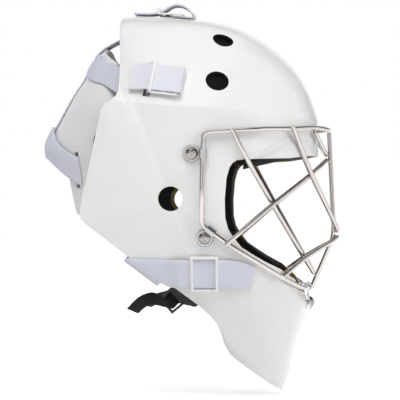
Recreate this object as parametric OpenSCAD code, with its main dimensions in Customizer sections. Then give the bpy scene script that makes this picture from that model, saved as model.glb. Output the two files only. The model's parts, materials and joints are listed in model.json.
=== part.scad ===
// Hockey goalie mask: moulded shell, wire cage, foam liner, webbing harness, back plate and chin sling.
// Millimetres. +X is the way the face looks, +Y is the wearer's left and +Z is up.
// The origin lies midway between the ear holes. The right half is drawn and the left half mirrors it.

/* [Shell] */
// Widest part of the shell, across the side creases
shell_w = 224; // [210:1:240]
// Reach of the brow ahead of the ear holes
shell_reach = 126; // [120:1:134]
// Height of the crown above the ear holes
shell_h = 161; // [154:1:170]
// Thickness of the moulded wall
shell_wall = 4; // [3:0.5:5]
// Diameter of each ear hole
ear_hole_d = 21; // [16:0.5:24]
// Diameter of each side vent
vent_d = 20; // [14:0.5:22]
// Diameter of each crown vent
crown_vent_d = 18.5; // [12:0.5:20]

/* [Cage] */
// Diameter of the cage wire
wire_d = 4; // [3.4:0.1:4.6]
// Clear gap between the rim wire and the shell
rim_gap = 2; // [1.5:0.1:3]
// Thickness of the sheet metal in the clips
clip_sheet = 1.2; // [1:0.1:1.5]
// Diameter of a screw head
screw_head_d = 11; // [9:0.5:12]
// Diameter of a screw's shank
screw_d = 4; // [3:0.5:5]
// Diameter of a washer
washer_d = 16; // [13:0.5:18]
// Thickness of a washer
washer_t = 1.2; // [1:0.1:2]

/* [Liner] */
// Thickness of the brow and crown foam
pad_t = 14; // [10:0.5:18]
// Thickness of the foam at the sides
side_pad_t = 12; // [8:0.5:14]
// Thickness of the foam inside the chin
chin_pad_t = 8; // [6:0.5:10]

/* [Straps] */
// Width of the harness webbing
strap_w = 25; // [21:0.5:27]
// Thickness of the harness webbing
strap_t = 1.4; // [1:0.1:1.8]
// Length of a slide along its strap
slide_l = 24; // [21:0.5:26]
// Width of each bar of a slide
bar_w = 2.6; // [2:0.1:3]
// Width of each side rail of a slide
rail_w = 1.8; // [1.4:0.1:2.4]
// Thickness of each bar of a slide
bar_t = 1.6; // [1.2:0.1:2]
// Width of the chin webbing
chin_web_w = 12; // [10:0.5:14]

/* [Back plate] */
// Thickness of the back plate
plate_t = 3; // [2:0.5:4]
// Width of the back plate over its wings
plate_w = 168; // [156:1:176]
// Thickness of the foam inside the back plate
plate_pad_t = 8; // [6:0.5:10]

/* [Hidden] */
$fn = 48;
eps = 0.01;

// Stretch of the drawn shape along each axis
reach_k = shell_reach / 126;
width_k = shell_w / 224;
height_k = shell_h / 161;
soft_gap = 1;

// The shell's surface is a fan of ribs about the ear axis. Each row is one rib: its angle up from +X,
// then four corners, each a radius from the ear axis and a half width. The first corner is the side
// crease, the second the crown ridge, and the last the rib's end, at the middle plane or past the edge.
ear_half = 105;
ribs = [
    [-65, 80, 92, 158, 54, 198, 26, 202, 0],
    [-61, 80, 93, 156, 56, 191, 27, 194, 0],
    [-53, 78, 96, 143, 64, 171, 30, 173, 0],
    [-47, 76, 98, 134, 68, 160, 32, 161, 0],
    [-40, 74, 100, 124, 72, 151, 32, 152, 0],
    [-34, 72, 101, 115, 75, 136, 32, 136, 0],
    [-20, 66, 103, 110, 70, 129, 32, 129, 0],
    [0, 62, 105, 108, 68, 127, 30, 127, 0],
    [17, 66, 105.5, 112, 68, 132, 31, 131.5, 0],
    [25, 72, 106, 119, 69, 138.5, 31, 138, 0],
    [33, 80, 106.5, 128, 68, 146, 30, 146, 0],
    [42, 90, 105.5, 139, 61, 153, 27, 152, 0],
    [51, 92, 106, 143, 60, 157, 27, 157, 0],
    [63, 87, 109, 143, 64, 160, 29, 160, 0],
    [74, 82, 111, 140, 67, 161, 32, 162, 0],
    [85, 80, 112, 141, 70, 161, 34, 161, 0],
    [97, 80, 112, 146, 70, 163, 34, 164, 0],
    [106, 83, 111, 149, 68, 169, 32, 170, 0],
    [111, 83, 111, 151, 64, 171, 28, 172, 0],
    [115, 83, 111, 118, 92, 130, 78, 140, 64],
    [120, 76, 110, 100, 105, 112, 96, 124, 86],
    [128, 62, 109, 88, 108.5, 100, 106, 112, 101],
    [142, 48, 107.5, 70, 107, 84, 106, 98, 104],
    [160, 42, 106, 66, 105, 80, 103, 92, 101],
    [180, 40, 104, 65, 102, 80, 100, 92, 98],
    [195, 40, 103, 65, 100, 80, 98, 92, 96],
    [220, 38, 100, 60, 96, 75, 93, 88, 90],
    [245, 35, 99, 60, 93, 72, 89, 85, 86],
    [272, 40, 97, 70, 89, 85, 84, 100, 80],
    [282, 60, 94, 90, 82, 105, 76, 120, 70],
    [290, 80, 91, 130, 68, 150, 53, 165, 40]
];
// The ribs whose last corner lies on the middle plane are joined over it
joined_ribs = [for (r = ribs) if (r[8] == 0) r[0]];
first_joined = min(joined_ribs);
last_joined = max(joined_ribs);
// How crisply each corner of a rib turns
corner_pull = [1.6, 2.4, 1];

// Side view of the shell's edge: up the back, round the jaw and under the chin, then clear of the front
outline = [
    [-49, 200], [-48.5, 163], [-47.6, 148], [-45.6, 128], [-44.6, 106], [-44.4, 93], [-46.5, 87.5],
    [-52, 82.8], [-56.5, 80.5], [-59.3, 75], [-64.4, 50], [-70.1, 24.5], [-75.8, 1], [-77.7, -12],
    [-76.8, -17.5], [-73, -21], [-40, -47], [-10.5, -69.5], [2.2, -76], [23, -91.8], [33.5, -101.7],
    [38, -108], [41, -115], [44.2, -126.6], [48.3, -135], [54.5, -140.7], [94, -171], [130, -198],
    [220, -198], [220, 200]
];
// Side view of the face opening
opening = [
    [200, 42], [126, 38.5], [100, 35], [62, 33.5], [56, 32.6], [52.5, 30.4], [50, 26.5], [47.5, 17.6],
    [46, 0], [46.3, -15.8], [48.6, -25.3], [52.1, -31.3], [59.7, -40.9], [66.7, -45.7],
    [78.4, -53], [92.7, -60.4], [105, -70.3], [110, -80.5], [130, -96], [200, -96]
];

// Places in the side view, as [x, z]
upper_strap_at = [-13, 101.3];
upper_strap_tilt = -8.5;
lower_slide_at = [28.3, -63];
vent_at = [39.2, 100.8];
crown_vent_at = [42.8, 138];
upper_screw_at = [18, 38.5];
lower_screw_at = [29, -33];
crown_strap_x = -10;

// Small vector and list helpers
function unit(v) = v / norm(v);
function lerp(a, b, s) = a + (b - a) * s;
function flipped(p) = [p.x, -p.y, p.z];
function clean(p) = [p.x, abs(p.y) < 1e-9 ? 0 : p.y, p.z];
function reversed(list) = [for (i = [len(list) - 1:-1:0]) list[i]];
function side_point(p) = [p.x * reach_k, p.y * height_k];

// The rib at any angle, by a smooth curve through the rows that never overshoots them
function row_values(i) = let (r = ribs[(i + len(ribs)) % len(ribs)]) [for (k = [1:8]) r[k]];
function row_angle(i) = ribs[(i + len(ribs)) % len(ribs)][0] + 360 * floor(i / len(ribs));
function rise(i) = (row_values(i + 1) - row_values(i)) / (row_angle(i + 1) - row_angle(i));
function steady(a, b) = a * b <= 0 ? 0 : 2 * a * b / (a + b);
function slopes(i) = let (a = rise(i - 1), b = rise(i)) [for (k = [0:7]) steady(a[k], b[k])];
function row_before(angle, i = 0) = row_angle(i + 1) > angle ? i : row_before(angle, i + 1);
function blend(p, q, m, n, s) =
    p * (2 * s ^ 3 - 3 * s ^ 2 + 1) + m * (s ^ 3 - 2 * s ^ 2 + s)
    + q * (3 * s ^ 2 - 2 * s ^ 3) + n * (s ^ 3 - s ^ 2);
function rib(angle) =
    let (
        a = angle < first_joined ? angle + 360 : angle,
        i = row_before(a),
        gap = row_angle(i + 1) - row_angle(i),
        v = blend(row_values(i), row_values(i + 1), slopes(i) * gap, slopes(i + 1) * gap,
                  (a - row_angle(i)) / gap)
    )
    [[0, ear_half], [v[0], v[1]], [v[2], v[3]], [v[4], v[5]], [v[6], v[7]]];

// A point on a rib: t runs from 0 at the ear axis to 3 at the rib's end
function rib_point(q, t) =
    let (
        k = min(2, floor(t)),
        s = t - k,
        from = k == 0 ? q[0] : (q[k] + q[k + 1]) / 2,
        to = k == 2 ? q[4] : (q[k + 1] + q[k + 2]) / 2,
        pull = 2 * corner_pull[k] * s * (1 - s)
    )
    (from * (1 - s) ^ 2 + q[k + 1] * pull + to * s ^ 2) / ((1 - s) ^ 2 + pull + s ^ 2);
function placed(angle, p) =
    [p.x * cos(angle) * reach_k, -p.y * width_k, p.x * sin(angle) * height_k];
// t from 3 to 6 is the left half
function skin(angle, t) =
    t > 3 ? flipped(placed(angle, rib_point(rib(angle), 6 - t))) : placed(angle, rib_point(rib(angle), t));
function skin_normal(angle, t) =
    let (
        at = t > 3 ? 6 - t : t,
        low = max(0.01, at - 0.03),
        high = min(3, at + 0.03),
        along = skin(angle, high) - skin(angle, low),
        n = unit(cross(along, skin(angle + 0.6, at) - skin(angle - 0.6, at))),
        out = at > 2.999 ? unit([n.x, 0, n.z]) : n
    )
    t > 3 ? flipped(out) : out;
function lifted(angle, t, lift) = clean(skin(angle, t) + skin_normal(angle, t) * lift);

// Finds the rib and the place on it that lie at [x, z] in the side view
function solve_t(q, radius, low, high, n) =
    n == 0 ? (low + high) / 2
    : let (mid = (low + high) / 2)
      rib_point(q, mid).x < radius
          ? solve_t(q, radius, mid, high, n - 1)
          : solve_t(q, radius, low, mid, n - 1);
function seat(p) = let (angle = atan2(p.y, p.x)) [angle, solve_t(rib(angle), norm(p), 0.02, 3, 22)];
function on_side(p, lift = 0) = let (s = seat(p)) lifted(s[0], s[1], lift);
function side_normal(p) = let (s = seat(p)) skin_normal(s[0], s[1]);

// Puts its children on the skin: local X runs forward, Y up and Z outwards
module at_side(p, lift = 0) {
    n = side_normal(p);
    u = unit([1, 0, 0] - n * n.x);
    v = cross(n, u);
    o = on_side(p, lift);
    multmatrix([[u.x, v.x, n.x, o.x], [u.y, v.y, n.y, o.y], [u.z, v.z, n.z, o.z], [0, 0, 0, 1]]) children();
}

module both_sides() {
    children();
    mirror([0, 1, 0]) children();
}

module left_of() {
    mirror([0, 1, 0]) children();
}

// The frame of the upper side strap, whose front end dips
module at_upper_strap() {
    at_side(upper_strap_at) rotate([0, 0, upper_strap_tilt]) children();
}

// Draws an extruded side-view outline through both sides of the mask
module through_sides(points) {
    rotate([90, 0, 0]) linear_extrude(height = 2 * shell_w, center = true)
        polygon([for (p = points) side_point(p)]);
}

// A closed slab between two grids of points, with its faces turned outwards
function slab_faces(n, m) =
    let (b = n * m)
    concat(
        [for (i = [0:n - 2], j = [0:m - 2], h = [0:3])
            let (a = i * m + j, d = a + m)
            [[a, d, d + 1], [a, d + 1, a + 1], [b + a, b + d + 1, b + d], [b + a, b + a + 1, b + d + 1]][h]],
        [for (j = [0:m - 2], h = [0:3])
            let (e = (n - 1) * m + j)
            [[j, j + 1, b + j + 1], [j, b + j + 1, b + j], [e, b + e + 1, e + 1], [e, b + e, b + e + 1]][h]],
        [for (i = [0:n - 2], h = [0:3])
            let (a = i * m, e = a + m - 1)
            [[a + m, a, b + a], [a + m, b + a, b + a + m], [e + m, b + e, e], [e + m, b + e + m, b + e]][h]]
    );
module slab(top, bottom) {
    n = len(top);
    m = len(top[0]);
    out = cross(top[0][1] - top[0][0], top[1][0] - top[0][0]) * (top[0][0] - bottom[0][0]);
    faces = slab_faces(n, m);
    points = concat([for (r = top) each r], [for (r = bottom) each r]);
    polyhedron(points, out > 0 ? faces : [for (f = faces) reversed(f)]);
}

// A tube swept along a path; its rings keep one side turned away from the head
function tangent(p, i, closed) =
    let (n = len(p))
    unit(closed ? p[(i + 1) % n] - p[(i + n - 1) % n] : p[min(n - 1, i + 1)] - p[max(0, i - 1)]);
function ring(c, t, r, sides) =
    let (away = unit(c - [20, 0, 0]), n = unit(away - t * (away * t)), b = cross(t, n))
    [for (k = [0:sides - 1]) clean(c + (n * cos(360 * k / sides) + b * sin(360 * k / sides)) * r)];
module tube(path, d, closed = false, sides = 8) {
    n = len(path);
    rings = [for (i = [0:n - 1]) ring(path[i], tangent(path, i, closed), d / 2, sides)];
    last = closed ? n - 1 : n - 2;
    walls = [for (i = [0:last], j = [0:sides - 1], h = [0, 1])
        let (a = i * sides + j, b = i * sides + (j + 1) % sides, up = ((i + 1) % n) * sides)
        [[a, up + (j + 1) % sides, b], [a, up + j, up + (j + 1) % sides]][h]];
    ends = closed ? [] : concat([for (j = [1:sides - 2]) [0, j, j + 1]],
        [for (j = [1:sides - 2]) [(n - 1) * sides, (n - 1) * sides + j + 1, (n - 1) * sides + j]]);
    polyhedron([for (r = rings) each r], concat(walls, ends));
}
// A smooth path through hand-set points
function spline(a, b, c, d, s) =
    (b * 2 + (c - a) * s + (a * 2 - b * 5 + c * 4 - d) * s ^ 2 + (b * 3 - a - c * 3 + d) * s ^ 3) / 2;
function smooth(p, steps, closed = false) =
    let (n = len(p), last = closed ? n - 1 : n - 2)
    concat(
        [for (i = [0:last], k = [0:steps - 1])
            let (
                a = closed ? p[(i + n - 1) % n] : p[max(0, i - 1)],
                d = closed ? p[(i + 2) % n] : p[min(n - 1, i + 2)]
            )
            spline(a, p[i], p[(i + 1) % n], d, k / steps)],
        closed ? [] : [p[n - 1]]
    );
// A path and its mirror image joined at the middle plane, which the path starts from
function mirrored_path(half) =
    concat(reversed(half), [for (i = [1:len(half) - 1]) flipped(half[i])]);
function stretched(p) = [p.x * reach_k, p.y * width_k, p.z * height_k];

// The outline of a ribbon of thickness t along a flat path
function flat_dir(p, i) = unit(p[min(len(p) - 1, i + 1)] - p[max(0, i - 1)]);
function ribbon(p, t) =
    let (side = [for (i = [0:len(p) - 1]) let (d = flat_dir(p, i)) [-d.y, d.x] * t / 2])
    concat([for (i = [0:len(p) - 1]) p[i] + side[i]], reversed([for (i = [0:len(p) - 1]) p[i] - side[i]]));
module flat_strap(path, width = strap_w) {
    rotate([90, 0, 0]) linear_extrude(height = width, center = true) polygon(ribbon(path, strap_t));
}

// Foam laid against the inside of the shell between four corners of the side view
module side_pad(c, t, rows = 8, cols = 8, bevel = 0.09) {
    function at(u, v) = seat(lerp(lerp(c[0], c[1], u), lerp(c[3], c[2], u), v));
    function pulled(s, k) = 0.5 + (s - 0.5) * (1 - 2 * k);
    slab(
        [for (i = [0:rows]) [for (j = [0:cols])
            let (s = at(i / rows, j / cols)) lifted(s[0], s[1], -shell_wall - soft_gap)]],
        [for (i = [0:rows]) [for (j = [0:cols])
            let (s = at(pulled(i / rows, bevel), pulled(j / cols, bevel)))
            lifted(s[0], s[1], -shell_wall - soft_gap - t)]]
    );
}
// Foam laid across the middle plane, from one rib angle to another, reaching t_from round each side.
// Its lower edge climbs by side_rise degrees towards both ends.
module middle_pad(a0, a1, t_from, near, thick, rows = 6, cols = 14, bevel = 0.06, side_rise = 0) {
    function across(j, k) = let (w = (3 - t_from) * (1 - k)) 3 - w + 2 * w * j / cols;
    function up(i, j, k) =
        let (low = a0 + side_rise * abs(2 * j / cols - 1) ^ 4, inset = (a1 - low) * k / 2)
        lerp(low + inset, a1 - inset, i / rows);
    slab(
        [for (i = [0:rows]) [for (j = [0:cols]) lifted(up(i, j, 0), across(j, 0), -near)]],
        [for (i = [0:rows]) [for (j = [0:cols]) lifted(up(i, j, bevel), across(j, bevel), -near - thick)]]
    );
}

// The moulded shell: fan of ribs from the ear holes, trimmed to its side view and pierced
rib_steps = [0.05, 0.25, 0.4, 0.5, 0.6, 0.8, 1, 1.25, 1.4, 1.5, 1.6, 1.75, 2, 2.3, 2.6, 3];
rib_angles = concat([for (a = [first_joined:4:last_joined]) a], [for (a = [115, 120, 128]) a],
    [for (a = [138:10:288]) a], [291]);
module shell_form() {
    rows = len(rib_angles);
    cols = len(rib_steps);
    layer = rows * cols * 2;
    outer = [for (a = rib_angles) [for (t = rib_steps) lifted(a, t, 0)]];
    inner = [for (a = rib_angles) [for (t = rib_steps) lifted(a, t, -shell_wall)]];
    points = [for (g = [outer, inner]) each [for (r = g) each concat(r, [for (p = r) clean(flipped(p))])]];
    function joined(i) = rib_angles[i] <= last_joined;
    faces = [for (i = [0:rows - 1], left = [0, 1])
        let (a = i * 2 * cols + left * cols, b = ((i + 1) % rows) * 2 * cols + left * cols,
            open_end = !(joined(i) && joined((i + 1) % rows)), e = cols - 1,
            quads = concat(
                [for (j = [0:cols - 2]) [a + j, b + j, b + j + 1, a + j + 1]],
                [for (j = [0:cols - 2]) [layer + a + j + 1, layer + b + j + 1, layer + b + j, layer + a + j]],
                [[a, layer + a, layer + b, b]],
                open_end ? [[a + e, b + e, layer + b + e, layer + a + e]] : []
            ))
        each [for (q = quads)
            let (w = left == 1 ? reversed(q) : q)
            each [[w[0], w[1], w[2]], [w[0], w[2], w[3]]]]];
    polyhedron(points, faces);
}
slot_u = -5.5;
crown_slot_u = 5;
slot_w = 6;
slot_l = strap_w + 8;
module slot_form() {
    for (end = [-1, 1]) translate([0, end * (slot_l - slot_w) / 2, -12]) cylinder(h = 24, d = slot_w);
    cube([slot_w, slot_l - slot_w, 24], center = true);
}
chin_screw_angle = -38.6;
module screw_hole() cylinder(h = 30, d = screw_d + 0.8, center = true);
module shell() {
    color("white") difference() {
        intersection() {
            shell_form();
            through_sides(outline);
        }
        through_sides(opening);
        rotate([90, 0, 0]) cylinder(h = 2 * shell_w, d = ear_hole_d, center = true);
        both_sides() {
            at_side(vent_at) cylinder(h = 30, d = vent_d, center = true);
            at_side(crown_vent_at) cylinder(h = 30, d = crown_vent_d, center = true);
            at_upper_strap() translate([slot_u, 0, 0]) slot_form();
            at_side(upper_screw_at) screw_hole();
            at_side(lower_screw_at) screw_hole();
        }
        at_middle(chin_screw_angle) screw_hole();
        at_crown() translate([crown_slot_u, 0, 0]) slot_form();
    }
}

// Frames for pieces that sit on the skin
function local(p, o, u, v, n) = [(p - o) * u, (p - o) * v, (p - o) * n];
function frame_at(p) =
    let (n = side_normal(p), u = unit([1, 0, 0] - n * n.x)) [on_side(p), u, cross(n, u), n];
function in_frame(p, at) = let (f = frame_at(at)) local(p, f[0], f[1], f[2], f[3]);
// At the middle plane local X runs to the wearer's left, Y up and Z outwards
module at_middle(angle, lift = 0) {
    n = skin_normal(angle, 3);
    o = lifted(angle, 3, lift);
    multmatrix([[0, -n.z, n.x, o.x], [1, 0, 0, 0], [0, n.x, n.z, o.z], [0, 0, 0, 1]]) children();
}

// Cage wires. Each is set by hand points on the right half, from the middle plane outwards
rim_lift = wire_d / 2 + rim_gap;
weld = 0.5;
function rim_at(x, z, over = 0) = on_side([x, z], rim_lift + over);
function bar_end(x, z) = rim_at(x, z, wire_d - weld);
rim_low_angle = -34.8;
rim_half = concat(
    [for (p = [[135, 0, 62], [131.5, -22, 62], [123, -46, 62]]) stretched(p)],
    [for (p = [[103, 60], [78, 58.8], [52, 57.4], [34, 56.4], [30.2, 55.6]]) rim_at(p[0], p[1])],
    [for (p = [[28, 53.2], [27.4, 46], [27, 30], [26.6, 5], [26.6, -16]]) rim_at(p[0], p[1])],
    [for (p = [[28.6, -22.3], [35.6, -28], [55, -42], [76, -56], [93, -68]]) rim_at(p[0], p[1])],
    [for (p = [[-35.9, 2.2], [-35.4, 2.6], [rim_low_angle, 3]]) lifted(p[0], p[1], rim_lift)]
);
rim_loop = concat(rim_half, [for (i = [len(rim_half) - 2:-1:1]) flipped(rim_half[i])]);
function bar_path(points, end) = mirrored_path(concat([for (p = points) stretched(p)], [end]));
module wire(path, steps = 3) color("silver") tube(smooth(path, steps), wire_d);
module cage_rim() color("silver") tube(smooth(rim_loop, 3, true), wire_d, true);
module cage_centre_bar() {
    wire([for (p = [[135.4, 0, 59.6], [136.6, 0, 35], [138.2, 0, -1], [139.2, 0, -26], [138.6, 0, -34.5],
        [135.4, 0, -43], [126.4, 0, -64], [119.3, 0, -80.5]]) stretched(p)]);
}
module cage_long_bar() {
    wire(bar_path([[121.4, 0, -66], [119, -12, -61.5], [104.5, -52, -37], [84, -82, -1], [66, -105, 32]],
        bar_end(51.4, 58.6)));
}
module cage_upper_bar() {
    wire(bar_path([[142.9, 0, -28.5], [139.6, -9, -20], [118.8, -49.5, 23.6]], bar_end(98.2, 61.6)));
}
module cage_cheek_bar() {
    wire(bar_path([[133, 0, 34.6], [129.9, -13.2, 31.6], [118.1, -43.2, 20.4], [87.4, -83, -4.2],
        [66, -102.4, -22.6]], bar_end(46.6, -37.8)));
}
module cage_lower_bar() {
    wire(bar_path([[142.4, 0, -34], [137.6, -10, -38], [114.6, -36, -51.8]], bar_end(89.7, -66.2)));
}
module cage_brow_bar() {
    wire(bar_path([[132.8, 0, 39.4], [129.5, -20, 45]], stretched([122.6, -47.5, 58.4])));
}

// Clips, screws, washers and nuts. The screw stack stands on the skin, along local Z
washer_base = 0.3;
clip_base = washer_base + washer_t + 0.02;
head_base = clip_base + clip_sheet + 0.02;
head_h = 3.4;
nut_h = 3;
nut_top = -shell_wall - 0.3;
module clip_form(at, turn, wide = 8, split = 0) {
    loop_r = wire_d / 2 + 0.4;
    reach = at.x * cos(turn) + at.y * sin(turn);
    difference() {
        union() {
            translate([0, 0, clip_base]) cylinder(h = clip_sheet, r = screw_head_d / 2 + 1);
            rotate([0, 0, turn]) {
                translate([0, -wide / 2, clip_base]) cube([reach, wide, clip_sheet]);
                translate([reach, 0, at.z]) rotate([90, 0, 0])
                    cylinder(h = wide, r = loop_r + clip_sheet, center = true);
            }
        }
        rotate([0, 0, turn]) translate([reach, 0, at.z]) {
            rotate([90, 0, 0]) cylinder(h = 30, r = loop_r, center = true);
            if (split > 0) {
                translate([-1, -split / 2, -10]) cube([20, split, 20]);
                translate([-6, -split / 2, 0]) cube([20, split, 20]);
            }
        }
        cylinder(h = 30, d = screw_d + 0.6, center = true);
        cylinder(h = clip_base, d = washer_d + 0.6);
        translate([0, 0, clip_base + clip_sheet]) cylinder(h = 12, d = screw_head_d + 0.6);
    }
}
module screw_form() {
    dome_r = (screw_head_d ^ 2 / 4 + head_h ^ 2) / (2 * head_h);
    slot = screw_head_d / 2;
    difference() {
        translate([0, 0, head_base]) intersection() {
            cylinder(h = head_h + 1, d = screw_head_d);
            translate([0, 0, head_h - dome_r]) sphere(dome_r);
        }
        for (turn = [45, 135]) rotate([0, 0, turn])
            translate([0, 0, head_base + head_h]) cube([slot, 1.2, 3], center = true);
    }
    tip = nut_top - nut_h - chin_nut_drop - 0.5;
    translate([0, 0, tip]) cylinder(h = head_base - tip + eps, d = screw_d);
}
module washer_form() {
    translate([0, 0, washer_base]) difference() {
        cylinder(h = washer_t, d = washer_d);
        translate([0, 0, -1]) cylinder(h = washer_t + 2, d = screw_d + 0.6);
    }
}
// The hollow side of the chin's fold holds its nut a little off the wall
chin_nut_drop = 1;
module nut_form(drop = 0) {
    translate([0, 0, nut_top - nut_h - drop]) difference() {
        cylinder(h = nut_h, d = screw_d * 2, $fn = 6);
        translate([0, 0, -1]) cylinder(h = nut_h + 2, d = screw_d + 0.1);
    }
}
module at_screws() {
    both_sides() {
        at_side(upper_screw_at) children();
        at_side(lower_screw_at) children();
    }
    at_middle(chin_screw_angle) children();
}
module upper_clips() {
    color("silver") both_sides() at_side(upper_screw_at)
        clip_form(in_frame(rim_at(27.2, 38.5), upper_screw_at), 0);
}
module lower_clips() {
    color("silver") both_sides() at_side(lower_screw_at)
        clip_form(in_frame(rim_at(33.8, -26.6), lower_screw_at), 51);
}
module chin_clip() {
    n = skin_normal(chin_screw_angle, 3);
    o = skin(chin_screw_angle, 3);
    rim_low = lifted(rim_low_angle, 3, rim_lift);
    up = [-n.z, 0, n.x];
    color("silver") at_middle(chin_screw_angle)
        clip_form([0, (rim_low - o) * up, (rim_low - o) * n], 90, 12, wire_d + 0.8);
}
module clip_screws() color("gainsboro") at_screws() screw_form();
module clip_washers() color("whitesmoke") at_screws() washer_form();
module clip_nuts() {
    color("silver") {
        both_sides() {
            at_side(upper_screw_at) nut_form();
            at_side(lower_screw_at) nut_form();
        }
        at_middle(chin_screw_angle) nut_form(chin_nut_drop);
    }
}

// Foam liner
pad_gap = shell_wall + soft_gap;
module foam() color([0.06, 0.06, 0.06]) children();
module brow_pad() foam() middle_pad(17.5, 38, 0.48, pad_gap, pad_t, cols = 16, side_rise = 8.5);
module crown_pad() foam() middle_pad(46, 86, 1.75, pad_gap, pad_t);
module chin_pad() foam() middle_pad(-56, -43, 1.95, pad_gap + 0.5, chin_pad_t);
module temple_pad() foam() side_pad([[-8, 70], [64, 64], [60, 116], [-8, 124]], side_pad_t);
module ear_pad() {
    foam() difference() {
        side_pad([[-46, -6], [17, -24], [upper_screw_at.x - screw_d - 2, 50], [-44, 56]], side_pad_t,
            bevel = 0.03);
        rotate([90, 0, 0]) cylinder(h = 2 * shell_w, d = ear_hole_d + 2 * ear_ring, center = true);
    }
}
// Bare wall left round each ear hole, inside the foam
ear_ring = 3;
module cheek_pad() foam() side_pad([[38, -31], [46.5, -31], [45.2, 28], [39, 46]], side_pad_t, 4, 8, 0.04);
module jaw_pad() foam() side_pad([[26, -48], [50.5, -36.5], [99, -67], [66, -92]], side_pad_t);

// Webbing. Heights are above the skin
lower_layer = 1.2;
bar_low = lower_layer + strap_t / 2 + 0.3;
upper_layer = bar_low + bar_t + 0.3 + strap_t / 2;
bar_high = upper_layer + strap_t / 2 + 0.3;
strap_inner_end = -shell_wall - 1.5;
function fold_arc(x, low, high, n = 6) =
    [for (k = [0:n]) let (a = 90 - 180 * k / n)
        [x + cos(a) * (high - low) / 2, (low + high) / 2 + sin(a) * (high - low) / 2]];
fold_at = 22;
upper_path = concat(
    [[-21.5, 1.5], [-16, 1.8], [slot_u - 5, 3.4], [slot_u + 0.5, upper_layer]],
    fold_arc(fold_at, lower_layer, upper_layer),
    [[slot_u + 3, lower_layer], [slot_u + 1, lower_layer - 0.6], [slot_u, -1], [slot_u, strap_inner_end]]
);
module upper_strap() color("lavender") at_upper_strap() flat_strap(upper_path);
crown_path = concat(
    [[-29, 2.2], [-14, 2.6], [-7, 4.2], [-2, 6.6], [4, 10.6], [10, 12], [16, 10.6], [20.5, 7.6]],
    fold_arc(23, lower_layer, upper_layer),
    [[crown_slot_u + 3, lower_layer], [crown_slot_u + 1, lower_layer - 0.6], [crown_slot_u, -1],
        [crown_slot_u, strap_inner_end]]
);
crown_angle = atan2(shell_h, crown_strap_x);
// At the crown local X runs forward, Y to the right and Z up
module at_crown() at_middle(crown_angle) rotate([0, 0, -90]) children();
module crown_strap() color("lavender") at_crown() flat_strap(crown_path);

half_slide = strap_w / 2 + 0.4;
module slide_form(first, top_z) {
    low = bar_low;
    for (side = [-1, 1]) translate([first, side * (half_slide + rail_w / 2) - rail_w / 2, low]) {
        cube([slide_l, rail_w, bar_t]);
        cube([bar_w, rail_w, top_z + bar_t - low]);
    }
    translate([first, -half_slide - rail_w, top_z]) cube([bar_w, 2 * (half_slide + rail_w), bar_t]);
    for (x = [slide_l / 2 - bar_w / 2, slide_l - bar_w])
        translate([first + x, -half_slide - eps, low]) cube([bar_w, 2 * (half_slide + eps), bar_t]);
}
slide_first = -3.4;
crown_slide_first = -8;
crown_bar_high = 6.4;
module upper_slide() color("white") at_upper_strap() slide_form(slide_first, bar_high);
module crown_slide() color("white") at_crown() slide_form(crown_slide_first, crown_bar_high);

// Lower strap: one layer, over the slide's middle bar and under its outer bars
low_gap = 0.4;
low_bar = 1.6;
low_strap = low_bar + bar_t + low_gap + strap_t / 2;
low_top_bar = low_strap + strap_t / 2 + low_gap;
half_low = strap_w / 2 + 1;
flat_half = 20;
// Each row: the strap's upper edge, the step in the side view to its lower edge for each millimetre of
// width, and the lift. The last rows turn round the slanting back edge of the shell and run up inside.
front_rows = [[[71.2, -58], [-0.18, -0.76], 1.8], [[62, -53.8], [-0.12, -0.92], 2.2]];
back_rows = [
    [[-3, -51.3], [0.2, -0.95], 3], [[-17, -51], [0.5, -0.9], 2], [[-36.5, -50.4], [1.12, -0.84], 1.6],
    [[-39.6, -52.2], [1.12, -0.85], 0.4], [[-40.6, -53.1], [1.12, -0.86], -shell_wall / 2],
    [[-39.4, -51.9], [1.12, -0.85], -shell_wall - 0.6], [[-36.5, -48.5], [1.1, -0.82], -shell_wall - 1.6],
    [[-37.5, -45.5], [1.1, -0.82], -shell_wall - 1.8]
];
lower_frame = frame_at(lower_slide_at);
module lower_strap(across = 3) {
    function on_skin(r, k) =
        let (s = seat(lerp(r[0] + r[1] * strap_w, r[0], k / across))) lifted(s[0], s[1], r[2]);
    function on_flat(u, k) =
        lower_frame[0] + lower_frame[1] * u + lower_frame[2] * strap_w * (k / across - 0.5)
        + lower_frame[3] * low_strap;
    color("lavender") sheet(concat(
        [for (r = front_rows) [for (k = [0:across]) on_skin(r, k)]],
        [for (u = [flat_half, -flat_half]) [for (k = [0:across]) on_flat(u, k)]],
        [for (r = back_rows) [for (k = [0:across]) on_skin(r, k)]]
    ), strap_t);
}
// A sheet of thickness t whose middle surface runs through a grid of points
module sheet(grid, t) {
    n = len(grid) - 1;
    m = len(grid[0]) - 1;
    function half(i, j) =
        let (
            along = grid[min(n, i + 1)][j] - grid[max(0, i - 1)][j],
            wide = grid[i][min(m, j + 1)] - grid[i][max(0, j - 1)]
        )
        unit(cross(along, wide)) * t / 2;
    slab([for (i = [0:n]) [for (j = [0:m]) grid[i][j] + half(i, j)]],
        [for (i = [0:n]) [for (j = [0:m]) grid[i][j] - half(i, j)]]);
}
module lower_slide() {
    rail_h = low_top_bar + bar_t - low_bar;
    color("white") at_side(lower_slide_at) translate([-slide_l / 2, 0, 0]) {
        for (side = [-1, 1]) translate([0, side * (half_low + rail_w / 2) - rail_w / 2, low_bar])
            cube([slide_l, rail_w, rail_h]);
        for (x = [0, slide_l - bar_w]) translate([x, -half_low - eps, low_top_bar])
            cube([bar_w, 2 * (half_low + eps), bar_t]);
        translate([slide_l / 2 - bar_w / 2, -half_low - eps, low_bar])
            cube([bar_w, 2 * (half_low + eps), bar_t]);
    }
}

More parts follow.
